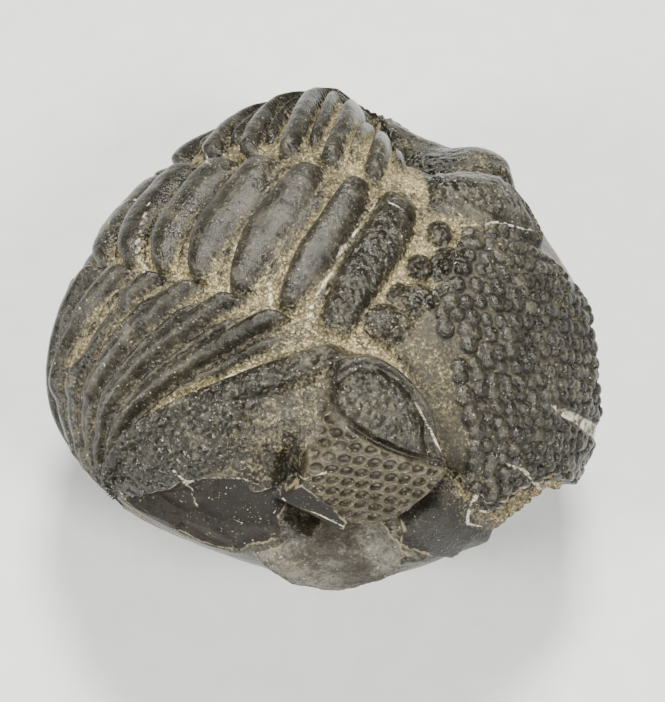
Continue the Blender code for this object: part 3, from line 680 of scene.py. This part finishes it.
def breaks(skin):
    """Where the shell is broken away, pressed in, or still stuck in rock."""
    height = 0.0
    for turn, lean, half_length, half_width, tall in FAR_DENTS:
        height = height + tall * bump(skin.spread_from(turn, lean, half_length, half_width), 2, 1.4)
    margin = np.interp(skin.lean, MARGIN_LEANS, MARGIN_TURNS)
    gone = smooth(margin - skin.turn, -0.5, 4) * smooth(skin.lean, -50, -42)
    gone = gone * (1 - smooth(skin.lean, -4, 10)) * smooth(skin.turn, -38, -15)
    ragged = 0.35 * skin.wave
    ledge = skin.depth_in(MATRIX_LEDGE) + ragged
    plate = np.maximum(skin.depth_in(CHEEK_PLATE), skin.depth_in(FRONT_STRIP)) + ragged
    slab = skin.depth_in(CALCITE_SLAB) + ragged
    wedge = skin.depth_in(DARK_WEDGE) + ragged
    height = height - MISSING_MARGIN_DEPTH * gone
    height = height - UNDERCUT_DEPTH * smooth(skin.depth_in(UNDERCUT), -1, 0.9)
    height = height + LEDGE_HEIGHT * smooth(ledge, -0.3, 1.4)
    height = height + SHELL_THICKNESS * smooth(plate, -0.1, 0.25)
    height = height - SHELL_THICKNESS * smooth(slab, -0.1, 0.25)
    skin.looks["shard"] = np.zeros(len(height))
    for inside, (size, tall) in ((ledge, LEDGE_FACETS), (slab, SLAB_FACETS), (gone, MARGIN_FACETS)):
        share = smooth(inside, 0, 1)
        there = np.flatnonzero(share > 0)
        heights, skin.looks["shard"][there] = facets(skin.base[there], size, 4)
        height[there] += tall * share[there] * heights
    layers = np.sin(2 * math.pi * skin.base[:, 2] / LEDGE_LAYER + 3 * skin.wave)
    crags = ripple(skin.base, 1.6, 27.0)
    height = height + (0.06 * layers + 0.3 * crags) * smooth(ledge, 0, 1)
    skin.looks["ledge"] = ledge
    skin.looks["plate"] = plate
    skin.looks["slab"] = np.maximum(slab, wedge)
    skin.looks["rough"] = np.maximum(gone, 1 - smooth(skin.base[:, 2], 1, 12))
    return height + 0.18 * ripple(skin.base, 6, 9.0)


def dirt(skin, in_head):
    """How thickly tan sediment covers each vertex: in the furrows, and in patches of its own."""
    crest = blend(skin.looks["crest"], skin.looks["head_crest"], in_head)
    amount = 0.60 * (1 - crest) ** 2 + 0.1 * skin.near * smooth(skin.side, 0.02, 0.0)
    amount = amount + 0.16 * in_head * skin.looks["glabella"] * (1 - skin.looks["wart"])
    amount = amount * (1 - 0.6 * smooth(skin.looks["ledge"], -0.2, 0.6))
    for outline, strength, soft in DIRT_PATCHES:
        amount = amount + strength * smooth(skin.depth_in(outline), -soft, soft)
    skin.looks["dirt"] = np.clip(amount, 0, 1.2) * (1 - 0.75 * smooth(skin.looks["slab"], -0.5, 0.5))


def relief(skin):
    """The height of the whole shell over the smooth roll."""
    back = thorax(skin)
    back = blend(back, tail(skin), smooth(skin.arc, TAIL_START_ARC - 0.5, TAIL_START_ARC + 0.5))
    inner = np.minimum(skin.across, 1)
    neck_line = 0.75 + np.where(skin.near, -1.2, 0.4) * inner ** 2
    on_side = smooth(skin.across, 0.93, 1.07)
    edge = blend(neck_line - skin.arc, head_back_edge(skin.side) - skin.fan, on_side)
    in_head = smooth(edge, -0.3, 0.3)
    height = blend(back, head(skin), in_head) + breaks(skin)
    wedge_top = np.interp(skin.lean, WEDGE_LEANS, WEDGE_HEIGHTS)
    height = blend(height, wedge_top, smooth(skin.depth_in(DARK_WEDGE), -0.1, 0.2))
    for name in ("granule", "glabella", "wart", "lens", "pit", "lid"):
        skin.looks[name] = skin.looks[name] * in_head
    dirt(skin, in_head)
    crack = np.full(len(skin.turn), FAR_AWAY)
    for line, half in WHITE_LINES:
        crack = np.minimum(crack, skin.distance_to_line(line) / half * 0.25)
    for outline in (WHITE_WEDGE, WHITE_CHIP):
        crack = np.minimum(crack, -skin.depth_in(outline) + 0.2)
    skin.looks["vein"] = crack
    rough = smooth(skin.looks["dirt"], 0.3, 0.8)
    height = height + (0.05 + 0.10 * rough) * ripple(skin.base, 0.9, 21.0)
    return height + 0.09 * ripple(skin.base, 2.2, 5.0)


def sphere_mesh():
    """A closed sphere of even quads from a cube, with finer ones over the back and the head."""
    mesh = bmesh.new()
    bmesh.ops.create_cube(mesh, size=2)
    bmesh.ops.subdivide_edges(mesh, edges=mesh.edges[:], cuts=CUBE_CUTS, use_grid_fill=True)
    for vertex in mesh.verts:
        x, y, z = vertex.co
        vertex.co = (x * math.sqrt(1 - y * y / 2 - z * z / 2 + y * y * z * z / 3),
                     y * math.sqrt(1 - z * z / 2 - x * x / 2 + z * z * x * x / 3),
                     z * math.sqrt(1 - x * x / 2 - y * y / 2 + x * x * y * y / 3))
    for parts in ((BACK_AND_HEAD,), (WARTY_DOME, NEAR_EYE), (NEAR_LENSES,)):
        refine(mesh, parts)
    return mesh


def refine(mesh, parts):
    """Divide the faces in some parts of the sphere, and put the new vertices on it."""
    edges = {}
    for face in mesh.faces:
        x, y, z = face.calc_center_median().normalized()
        turn = math.degrees(math.atan2(z, x))
        lean = math.degrees(math.asin(y))
        if any(first < turn < last and left < lean < right for first, last, left, right in parts):
            edges.update(dict.fromkeys(face.edges))
    bmesh.ops.subdivide_edges(mesh, edges=list(edges), cuts=1, use_grid_fill=True)
    for vertex in mesh.verts:
        vertex.co.normalize()


def sculpt(mesh, sizes):
    """Move the sphere's vertices to the roll, raise the shell's relief on it and note its looks."""
    count = len(mesh.vertices)
    flat = np.empty(count * 3, np.float32)
    mesh.vertices.foreach_get("co", flat)
    unit = flat.reshape(-1, 3).astype(float)
    skin = Skin(unit / np.linalg.norm(unit, axis=1, keepdims=True), sizes)
    place = skin.base + skin.normal * relief(skin)[:, None]
    place[:, 0] += BODY_CENTRE_SHIFT[0]
    place[:, 1] += BODY_CENTRE_SHIFT[1]
    place[:, 2] = np.maximum(place[:, 2], 0)
    mesh.vertices.foreach_set("co", (place * MM).astype(np.float32).ravel())
    for name in LOOKS:
        attribute = mesh.attributes.new(name, "FLOAT", "POINT")
        attribute.data.foreach_set("value", skin.looks[name].astype(np.float32))
    mesh.update()


class Nodes:
    """Puts shader nodes in a tree: values are given by input name or number, and sockets are linked."""

    def __init__(self, tree):
        self.tree = tree

    def put(self, kind, inputs, **settings):
        node = self.tree.nodes.new("ShaderNode" + kind)
        for name, value in settings.items():
            setattr(node, name, value)
        for key, value in inputs.items():
            self.feed(node.inputs[key], value)
        return node

    def feed(self, socket, value):
        """Link a socket to another one, or set its colour or number."""
        if isinstance(value, bpy.types.NodeSocket):
            self.tree.links.new(value, socket)
        else:
            socket.default_value = (*value, 1) if isinstance(value, Color) else value

    def math(self, operation, *values):
        return self.put("Math", dict(enumerate(values)), operation=operation).outputs[0]

    def times(self, first, second):
        return self.math("MULTIPLY", first, second)

    def plus_part(self, base, value, share):
        """The base with a share of another value added."""
        return self.math("MULTIPLY_ADD", value, share, base)

    def most(self, largest, *others):
        """The largest of all the values."""
        for other in others:
            largest = self.math("MAXIMUM", largest, other)
        return largest

    def mix(self, share, first, second):
        """A colour between two others."""
        return self.put("Mix", {0: share, 6: first, 7: second}, data_type="RGBA").outputs[2]

    def rise(self, value, start, end, low=0.0, high=1.0):
        """From low at start to high at end, with soft ends."""
        return self.put("MapRange", {0: value, 1: start, 2: end, 3: low, 4: high},
                        interpolation_type="SMOOTHSTEP").outputs[0]

    def ramp(self, value, stops):
        node = self.put("ValToRGB", {0: value})
        elements = node.color_ramp.elements
        elements[0].position, elements[0].color = stops[0][0], (*stops[0][1], 1)
        elements[1].position, elements[1].color = stops[-1][0], (*stops[-1][1], 1)
        for position, colour in stops[1:-1]:
            elements.new(position).color = (*colour, 1)
        return node.outputs[0]

    def pattern(self, kind, scale, **settings):
        """A solid pattern of the object's own space."""
        place = self.put("TexCoord", {}).outputs["Object"]
        return self.put(kind, {"Vector": place, "Scale": scale, **settings}).outputs

    def noise(self, size, detail, rough):
        """Noise from 0 to 1 with waves of the given size in metres."""
        return self.pattern("TexNoise", 1 / size, Detail=detail, Roughness=rough)[0]

    def look(self, name):
        return self.put("Attribute", {}, attribute_name=name).outputs["Fac"]


def new_group(name, inputs, outputs):
    """A shader node group with named sockets, a builder for its inside, and both rows of sockets."""
    tree = bpy.data.node_groups.new(name, "ShaderNodeTree")
    for in_out, sockets in (("INPUT", inputs), ("OUTPUT", outputs)):
        for socket, kind in sockets.items():
            tree.interface.new_socket(socket, in_out=in_out, socket_type="NodeSocket" + kind)
    return Nodes(tree), tree.nodes.new("NodeGroupInput").outputs, tree.nodes.new("NodeGroupOutput").inputs


def ragged_edge_group():
    """Turns a depth in mm into a mask with a wandering, broken edge, and a thin line on that edge."""
    nodes, given, result = new_group(
        "ragged_edge", {"Depth": "Float", "Wander": "Float", "Softness": "Float"},
        {"Mask": "Float", "Rim": "Float"})
    wave = nodes.math("SUBTRACT", nodes.noise(EDGE_WAVE, 5, 0.65), 0.5)
    depth = nodes.plus_part(given["Depth"], wave, given["Wander"])
    nodes.feed(result["Mask"], nodes.rise(depth, nodes.times(given["Softness"], -1), given["Softness"]))
    nodes.feed(result["Rim"], nodes.rise(nodes.math("ABSOLUTE", depth), 0.13, 0.03))
    return nodes.tree


def sediment_group():
    """Sandy tan sediment: its colour and how high its grains stand."""
    nodes, given, result = new_group(
        "sandy_sediment", {"Dark": "Color", "Light": "Color"}, {"Color": "Color", "Height": "Float"})
    grains = nodes.pattern("TexVoronoi", 1 / SAND_GRAIN)
    tone = nodes.put("SeparateColor", {0: grains["Color"]}).outputs[0]
    broad = nodes.rise(nodes.noise(SAND_CLOUD, 5, 0.7), 0.3, 0.75)
    tone = nodes.plus_part(nodes.times(broad, 0.3), nodes.math("POWER", tone, 3), 0.8)
    nodes.feed(result["Color"], nodes.mix(tone, given["Dark"], given["Light"]))
    height = nodes.plus_part(nodes.math("SUBTRACT", 1, grains["Distance"]), broad, 1.5)
    nodes.feed(result["Height"], height)
    return nodes.tree


class Stone:
    """The fossil's stone: its clouds, what lies where, and from them its colour, gloss and grain."""

    def __init__(self, nodes, finish):
        self.nodes = nodes
        self.finish = finish
        self.fine = nodes.noise(FINE_CLOUD, 3, 0.6)
        self.middle = nodes.noise(MIDDLE_CLOUD, 5, 0.65)
        self.broad = nodes.noise(BROAD_CLOUD, 4, 0.6)
        granule = nodes.look("granule")
        rough = nodes.look("rough")
        self.wart = nodes.look("wart")
        self.knobbly = nodes.most(granule, nodes.times(rough, 0.8))
        bare = nodes.times(nodes.look("glabella"), nodes.math("SUBTRACT", 1.0, self.wart))
        self.worn = nodes.most(bare, nodes.times(granule, 0.2), nodes.times(nodes.look("lid"), 0.25),
                               nodes.times(rough, 0.7))
        self.matte = nodes.rise(nodes.plus_part(self.worn, self.middle, 0.7), 0.5, 1.35)
        ragged = ragged_edge_group()
        self.slab = self.edged(ragged, nodes.look("slab"), 0.8)
        self.plate = self.edged(ragged, nodes.look("plate"), 0.8)
        self.ledge = self.edged(ragged, nodes.look("ledge"), 1.2)
        self.vein = self.edged(ragged, nodes.math("SUBTRACT", 0.25, nodes.look("vein")), 0.75, 0.09)
        self.broken = nodes.most(nodes.times(self.slab["Mask"], 0.9), nodes.times(self.plate["Mask"], 0.7))
        self.sand = nodes.put("Group", {"Dark": finish.sediment_dark, "Light": finish.sediment_light},
                              node_tree=sediment_group()).outputs
        dirt = nodes.plus_part(nodes.look("dirt"), rough, 0.18)
        for cloud, share in ((self.middle, 0.8), (self.fine, 0.9)):
            dirt = nodes.plus_part(dirt, nodes.math("SUBTRACT", cloud, 0.5), share)
        self.dirt = nodes.rise(dirt, 0.30, 0.75)

    def edged(self, group, depth, wander, softness=0.15):
        inputs = {"Depth": depth, "Wander": wander, "Softness": softness}
        return self.nodes.put("Group", inputs, node_tree=group).outputs

    def shell_colour(self):
        """Cloudy dark calcite, dull where it is worn, with painted shade darkest round the foot of each wart.
        """
        nodes, finish = self.nodes, self.finish
        tone = nodes.plus_part(nodes.times(self.broad, 0.5), self.middle, 0.6)
        tone = nodes.plus_part(tone, self.fine, 0.22)
        stops = ((0.48, finish.calcite_dark), (0.68, finish.calcite), (0.90, finish.calcite_light))
        speckled = nodes.times(self.matte, nodes.rise(self.fine, 0.35, 0.62, 0.35, 1.0))
        colour = nodes.mix(speckled, nodes.ramp(tone, stops), finish.worn_shell)
        # Painted shade: the calcite darkens in a ring round the foot of each wart, where shade falls between
        # them
        foot = nodes.times(nodes.rise(self.wart, 0.0, 0.15), nodes.rise(self.wart, 0.85, 0.45))
        return nodes.mix(nodes.times(foot, 0.85), colour, finish.calcite_dark)

    def broken_colour(self, colour):
        """Brown calcite on the slabs, the lens wall and its pits, and pale rock on the ledge."""
        nodes, finish = self.nodes, self.finish
        shade = nodes.plus_part(self.middle, nodes.look("shard"), 0.5)
        brown = nodes.mix(nodes.rise(shade, 0.3, 0.85), finish.brown_dark, finish.brown)
        colour = nodes.mix(self.broken, colour, brown)
        wall = nodes.mix(nodes.rise(self.middle, 0.3, 0.7), finish.lens_wall_dark, finish.lens_wall)
        colour = nodes.mix(nodes.times(nodes.look("lens"), 0.9), colour, wall)
        colour = nodes.mix(nodes.rise(nodes.look("pit"), 0.1, 0.9), colour, finish.lens_pit)
        stain = nodes.plus_part(nodes.times(self.middle, 0.4), self.broad, 0.6)
        stain = nodes.plus_part(stain, self.fine, 0.3)
        stops = ((0.52, finish.rock_dark), (0.64, finish.rock), (0.78, finish.rock_light))
        return nodes.mix(self.ledge["Mask"], colour, nodes.ramp(stain, stops))

    def whitened(self, colour):
        """The stone's colour with white edges, veins and flecks over it; the flecks are partly pale grains
        and partly painted glints.
        """
        nodes, finish = self.nodes, self.finish
        edge = nodes.most(self.plate["Rim"], self.ledge["Rim"], self.slab["Rim"])
        edge = nodes.times(edge, nodes.rise(nodes.noise(EDGE_GAP, 3, 0.6), 0.42, 0.56, 0.0, 0.8))
        vein = nodes.times(self.vein["Mask"], nodes.rise(nodes.noise(VEIN_GAP, 3, 0.6), 0.40, 0.56))
        # Bright specks, partly pale grains and partly painted glints, thickest on the granules
        fleck_and_glint = nodes.rise(nodes.noise(FLECK_AND_GLINT_SIZE, 2, 0.5), 0.66, 0.74)
        fleck_and_glint_share = nodes.most(nodes.rise(self.broad, 0.35, 0.6, 0.1, 0.8), nodes.times(self.knobbly, 0.8))
        white = nodes.mix(nodes.rise(self.fine, 0.3, 0.6), finish.vein_dark, finish.vein)
        colour = nodes.mix(edge, colour, finish.vein_dark)
        return nodes.mix(nodes.most(vein, nodes.times(fleck_and_glint, fleck_and_glint_share)), colour, white)

    def roughness(self):
        """Glossy calcite with dull rock, slabs, sediment and worn shell."""
        nodes = self.nodes
        gloss = nodes.math("MULTIPLY_ADD", nodes.rise(self.middle, 0.35, 0.75), 0.2, 0.12)
        dull = nodes.most(self.ledge["Mask"], nodes.times(self.slab["Mask"], 0.6), self.dirt,
                          nodes.times(self.matte, 0.55))
        return nodes.put("Mix", {0: dull, 2: gloss, 3: 0.85}).outputs[0]

    def grain(self):
        """The normal that granules, sand, chips and shallow dents give the surface."""
        nodes = self.nodes
        granules = nodes.pattern("TexVoronoi", 1 / GRANULE_SIZE)
        knob = nodes.rise(granules["Distance"], 0.75, 0.1)
        knob = nodes.math("ADD", knob, nodes.noise(KNOB_SIZE, 2, 0.5))
        knob = nodes.times(knob, nodes.times(self.knobbly, 0.38))
        sand = nodes.times(self.sand["Height"], nodes.times(self.dirt, 0.07))
        chipped = nodes.plus_part(nodes.rise(self.worn, 0.1, 1.0, 0.11, 0.2), self.broken, 0.12)
        chip = nodes.times(nodes.noise(CHIP_SIZE, 4, 0.7), chipped)
        height = nodes.math("ADD", nodes.math("ADD", knob, sand), nodes.plus_part(chip, self.middle, 0.2))
        return nodes.put("Bump", {"Strength": 1.0, "Distance": MM, "Height": height}).outputs[0]


def new_material(name):
    """A material, the builder of its nodes, and its shader's inputs."""
    material = bpy.data.materials.new(name)
    material.use_nodes = True
    tree = material.node_tree
    return material, Nodes(tree), tree.nodes["Principled BSDF"].inputs


def shell_material(finish):
    """Glossy dark calcite, dull sediment, brown and white calcite and pale rock."""
    material, nodes, shader = new_material("dark_calcite")
    stone = Stone(nodes, finish)
    colour = stone.broken_colour(stone.shell_colour())
    colour = nodes.mix(stone.dirt, colour, stone.sand["Color"])
    nodes.feed(shader["Base Color"], stone.whitened(colour))
    nodes.feed(shader["Roughness"], stone.roughness())
    nodes.feed(shader["Normal"], stone.grain())
    shader["Specular IOR Level"].default_value = 0.35
    return material


def floor_material():
    material, nodes, shader = new_material("pale_floor")
    tone = nodes.noise(FLOOR_CLOUD, 3, 0.5)
    nodes.feed(shader["Base Color"], nodes.ramp(tone, ((0.3, (0.58, 0.60, 0.62)), (0.7, (0.62, 0.64, 0.66)))))
    shader["Roughness"].default_value = 0.7
    return material


def number(name, description, default, **kind):
    return FloatProperty(name=name, description=description, default=default, **kind)


def length(name, description, default):
    return number(name, description, default, min=0, unit="LENGTH", precision=5)


def tint(name, description, default):
    return FloatVectorProperty(name=name, description=description, default=default, size=3, min=0, max=1,
                               subtype="COLOR")


class FossilSizes(bpy.types.PropertyGroup):
    """Heights of the shell's relief."""

    ring_height: length("Ring height", "Height of the rings of the middle lobe", 1.85 * MM)
    rib_height: length("Rib height", "Height of the side ribs", 1.9 * MM)
    eye_height: length("Eye height", "Height of the near eye over the head", 2.5 * MM)
    lens_depth: length("Lens depth", "Depth of the hollow of each lens", 0.4 * MM)
    tubercle_height: number("Tubercle height", "Height of a tubercle for its radius", 0.72, min=0, max=1)


class FossilFinish(bpy.types.PropertyGroup):
    """Colours of the fossil's stone."""

    calcite_dark: tint("Dark calcite", "Darkest shell", (0.0042, 0.0037, 0.0028))
    calcite: tint("Calcite", "Most of the shell", (0.02, 0.018, 0.0128))
    calcite_light: tint("Light calcite", "Palest clouds in the shell", (0.086, 0.078, 0.055))
    worn_shell: tint("Worn shell", "Dull shell between the warts", (0.053, 0.047, 0.032))
    brown_dark: tint("Dark brown calcite", "Thick part of the broken slabs", (0.0036, 0.0027, 0.0021))
    brown: tint("Brown calcite", "Thin part of the broken slabs", (0.0125, 0.009, 0.0062))
    lens_wall_dark: tint("Stained lens wall", "Dark shell between the lenses", (0.026, 0.021, 0.013))
    lens_wall: tint("Lens wall", "Shell between the eye's lenses", (0.082, 0.069, 0.044))
    lens_pit: tint("Lens pit", "Bottom of the eye's lenses", (0.013, 0.0105, 0.007))
    sediment_dark: tint("Dark sediment", "Darkest grains in the furrows", (0.03, 0.024, 0.0135))
    sediment_light: tint("Light sediment", "Palest grains in the furrows", (0.52, 0.435, 0.235))
    rock_dark: tint("Stained rock", "Stains on the pale rock", (0.028, 0.024, 0.018))
    rock: tint("Rock", "Most of the rock ledge", (0.052, 0.047, 0.038))
    rock_light: tint("Pale rock", "Cleanest part of the rock ledge", (0.145, 0.137, 0.118))
    vein_dark: tint("Dull vein", "Stained white calcite", (0.24, 0.2, 0.13))
    vein: tint("White vein", "Clean white calcite", (0.6, 0.56, 0.45))


class StudioSettings(bpy.types.PropertyGroup):
    """Camera and light."""

    azimuth: number("Azimuth", "Camera's turn round the stone", math.radians(29.8), subtype="ANGLE")
    elevation: number("Elevation", "Camera's height as an angle", math.radians(59.5), subtype="ANGLE")
    distance: number("Distance", "Camera's distance from the stone", 166 * MM, unit="LENGTH")
    lens: number("Lens", "Focal length in mm on a 36 mm sensor", 76.92)
    key_power: number("Key light", "Power of the lamp above the stone", 2.85)
    near_power: number("Near light", "Power of the lamp at the near left", 2.0)
    front_power: number("Front light", "Power of the lamp before the head", 2.0)
    sky: number("Sky", "Strength of the even light from all round", 0.09)


def check_size(mesh):
    """Fail if the shell's box strays too far from the plain part's."""
    corners = np.array([vertex.co for vertex in mesh.vertices])
    stray = np.abs(np.ptp(corners, 0) / np.ptp(CAD_BOX, 0) - 1).max()
    if stray > SIZE_TOLERANCE:
        raise RuntimeError(f"The shell's size is {stray:.1%} off the part's")


def add_object(scene, name, data):
    made = bpy.data.objects.new(name, data)
    scene.collection.objects.link(made)
    return made


def new_mesh(name, shape):
    mesh = bpy.data.meshes.new(name)
    shape.to_mesh(mesh)
    shape.free()
    return mesh


class FOSSIL_OT_make_shell(bpy.types.Operator):
    """Sculpt the curled-up trilobite and give it its stone"""

    bl_idname = "fossil.make_shell"
    bl_label = "Make Trilobite"

    def execute(self, context):
        mesh = new_mesh("trilobite_shell", sphere_mesh())
        sculpt(mesh, context.scene.fossil_sizes)
        check_size(mesh)
        mesh.shade_smooth()
        mesh.materials.append(shell_material(context.scene.fossil_finish))
        shell = add_object(context.scene, "trilobite_shell", mesh)
        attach(shell, "root")
        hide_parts("trilobite")
        return {"FINISHED"}


def aim(thing, place):
    """Put a camera or a lamp in its place and turn it to the fossil."""
    thing.location = place
    thing.rotation_euler = (Vector(place) - Vector(AIM)).to_track_quat("Z", "Y").to_euler()


def set_camera(scene, studio):
    camera = add_object(scene, "camera", bpy.data.cameras.new("camera"))
    flat = math.cos(studio.elevation)
    towards = Vector((math.sin(studio.azimuth) * flat, -math.cos(studio.azimuth) * flat,
                      math.sin(studio.elevation)))
    aim(camera, Vector(AIM) + towards * studio.distance)
    camera.data.lens = studio.lens
    camera.data.sensor_width = 36
    camera.data.clip_start = 5 * MM
    scene.camera = camera


def set_lamps(scene, studio):
    for name, place, size, power in LAMPS:
        lamp = bpy.data.lights.new(name, "AREA")
        lamp.size = size
        lamp.energy = getattr(studio, power)
        lamp.color = LAMP_COLOUR
        aim(add_object(scene, name, lamp), place)


def set_sky(scene, strength):
    world = bpy.data.worlds.new("soft_sky")
    world.use_nodes = True
    background = world.node_tree.nodes["Background"]
    background.inputs["Color"].default_value = SKY_COLOUR
    background.inputs["Strength"].default_value = strength
    scene.world = world


class FOSSIL_OT_set_stage(bpy.types.Operator):
    """Set the pale floor, the soft lamps and the camera"""

    bl_idname = "fossil.set_stage"
    bl_label = "Set Stage"

    def execute(self, context):
        scene = context.scene
        if "trilobite_shell" not in scene.objects:
            raise RuntimeError("Make the trilobite before its stage")
        set_camera(scene, scene.fossil_studio)
        set_lamps(scene, scene.fossil_studio)
        set_sky(scene, scene.fossil_studio.sky)
        shape = bmesh.new()
        bmesh.ops.create_grid(shape, x_segments=1, y_segments=1, size=FLOOR_HALF)
        ground = new_mesh("floor", shape)
        ground.materials.append(floor_material())
        floor = add_object(scene, "floor", ground)
        return {"FINISHED"}


class FOSSIL_PT_panel(bpy.types.Panel):
    """Sizes, colours and builders of the fossil"""

    bl_label = "Curled Trilobite"
    bl_idname = "FOSSIL_PT_panel"
    bl_space_type = "VIEW_3D"
    bl_region_type = "UI"
    bl_category = "Fossil"

    def draw(self, context):
        layout = self.layout
        for operator in OPERATORS:
            layout.operator(operator.bl_idname)
        for group in (context.scene.fossil_sizes, context.scene.fossil_finish, context.scene.fossil_studio):
            for name in group.__annotations__:
                layout.prop(group, name)


OPERATORS = (FOSSIL_OT_make_shell, FOSSIL_OT_set_stage)
CLASSES = (FossilSizes, FossilFinish, StudioSettings, *OPERATORS, FOSSIL_PT_panel)


def register():
    for kind in CLASSES:
        bpy.utils.register_class(kind)
    bpy.types.Scene.fossil_sizes = PointerProperty(type=FossilSizes)
    bpy.types.Scene.fossil_finish = PointerProperty(type=FossilFinish)
    bpy.types.Scene.fossil_studio = PointerProperty(type=StudioSettings)


def unregister():
    del bpy.types.Scene.fossil_studio
    del bpy.types.Scene.fossil_finish
    del bpy.types.Scene.fossil_sizes
    for kind in reversed(CLASSES):
        bpy.utils.unregister_class(kind)


def main():
    register()
    bpy.ops.fossil.make_shell()
    bpy.ops.fossil.set_stage()


if __name__ == "__main__":
    main()
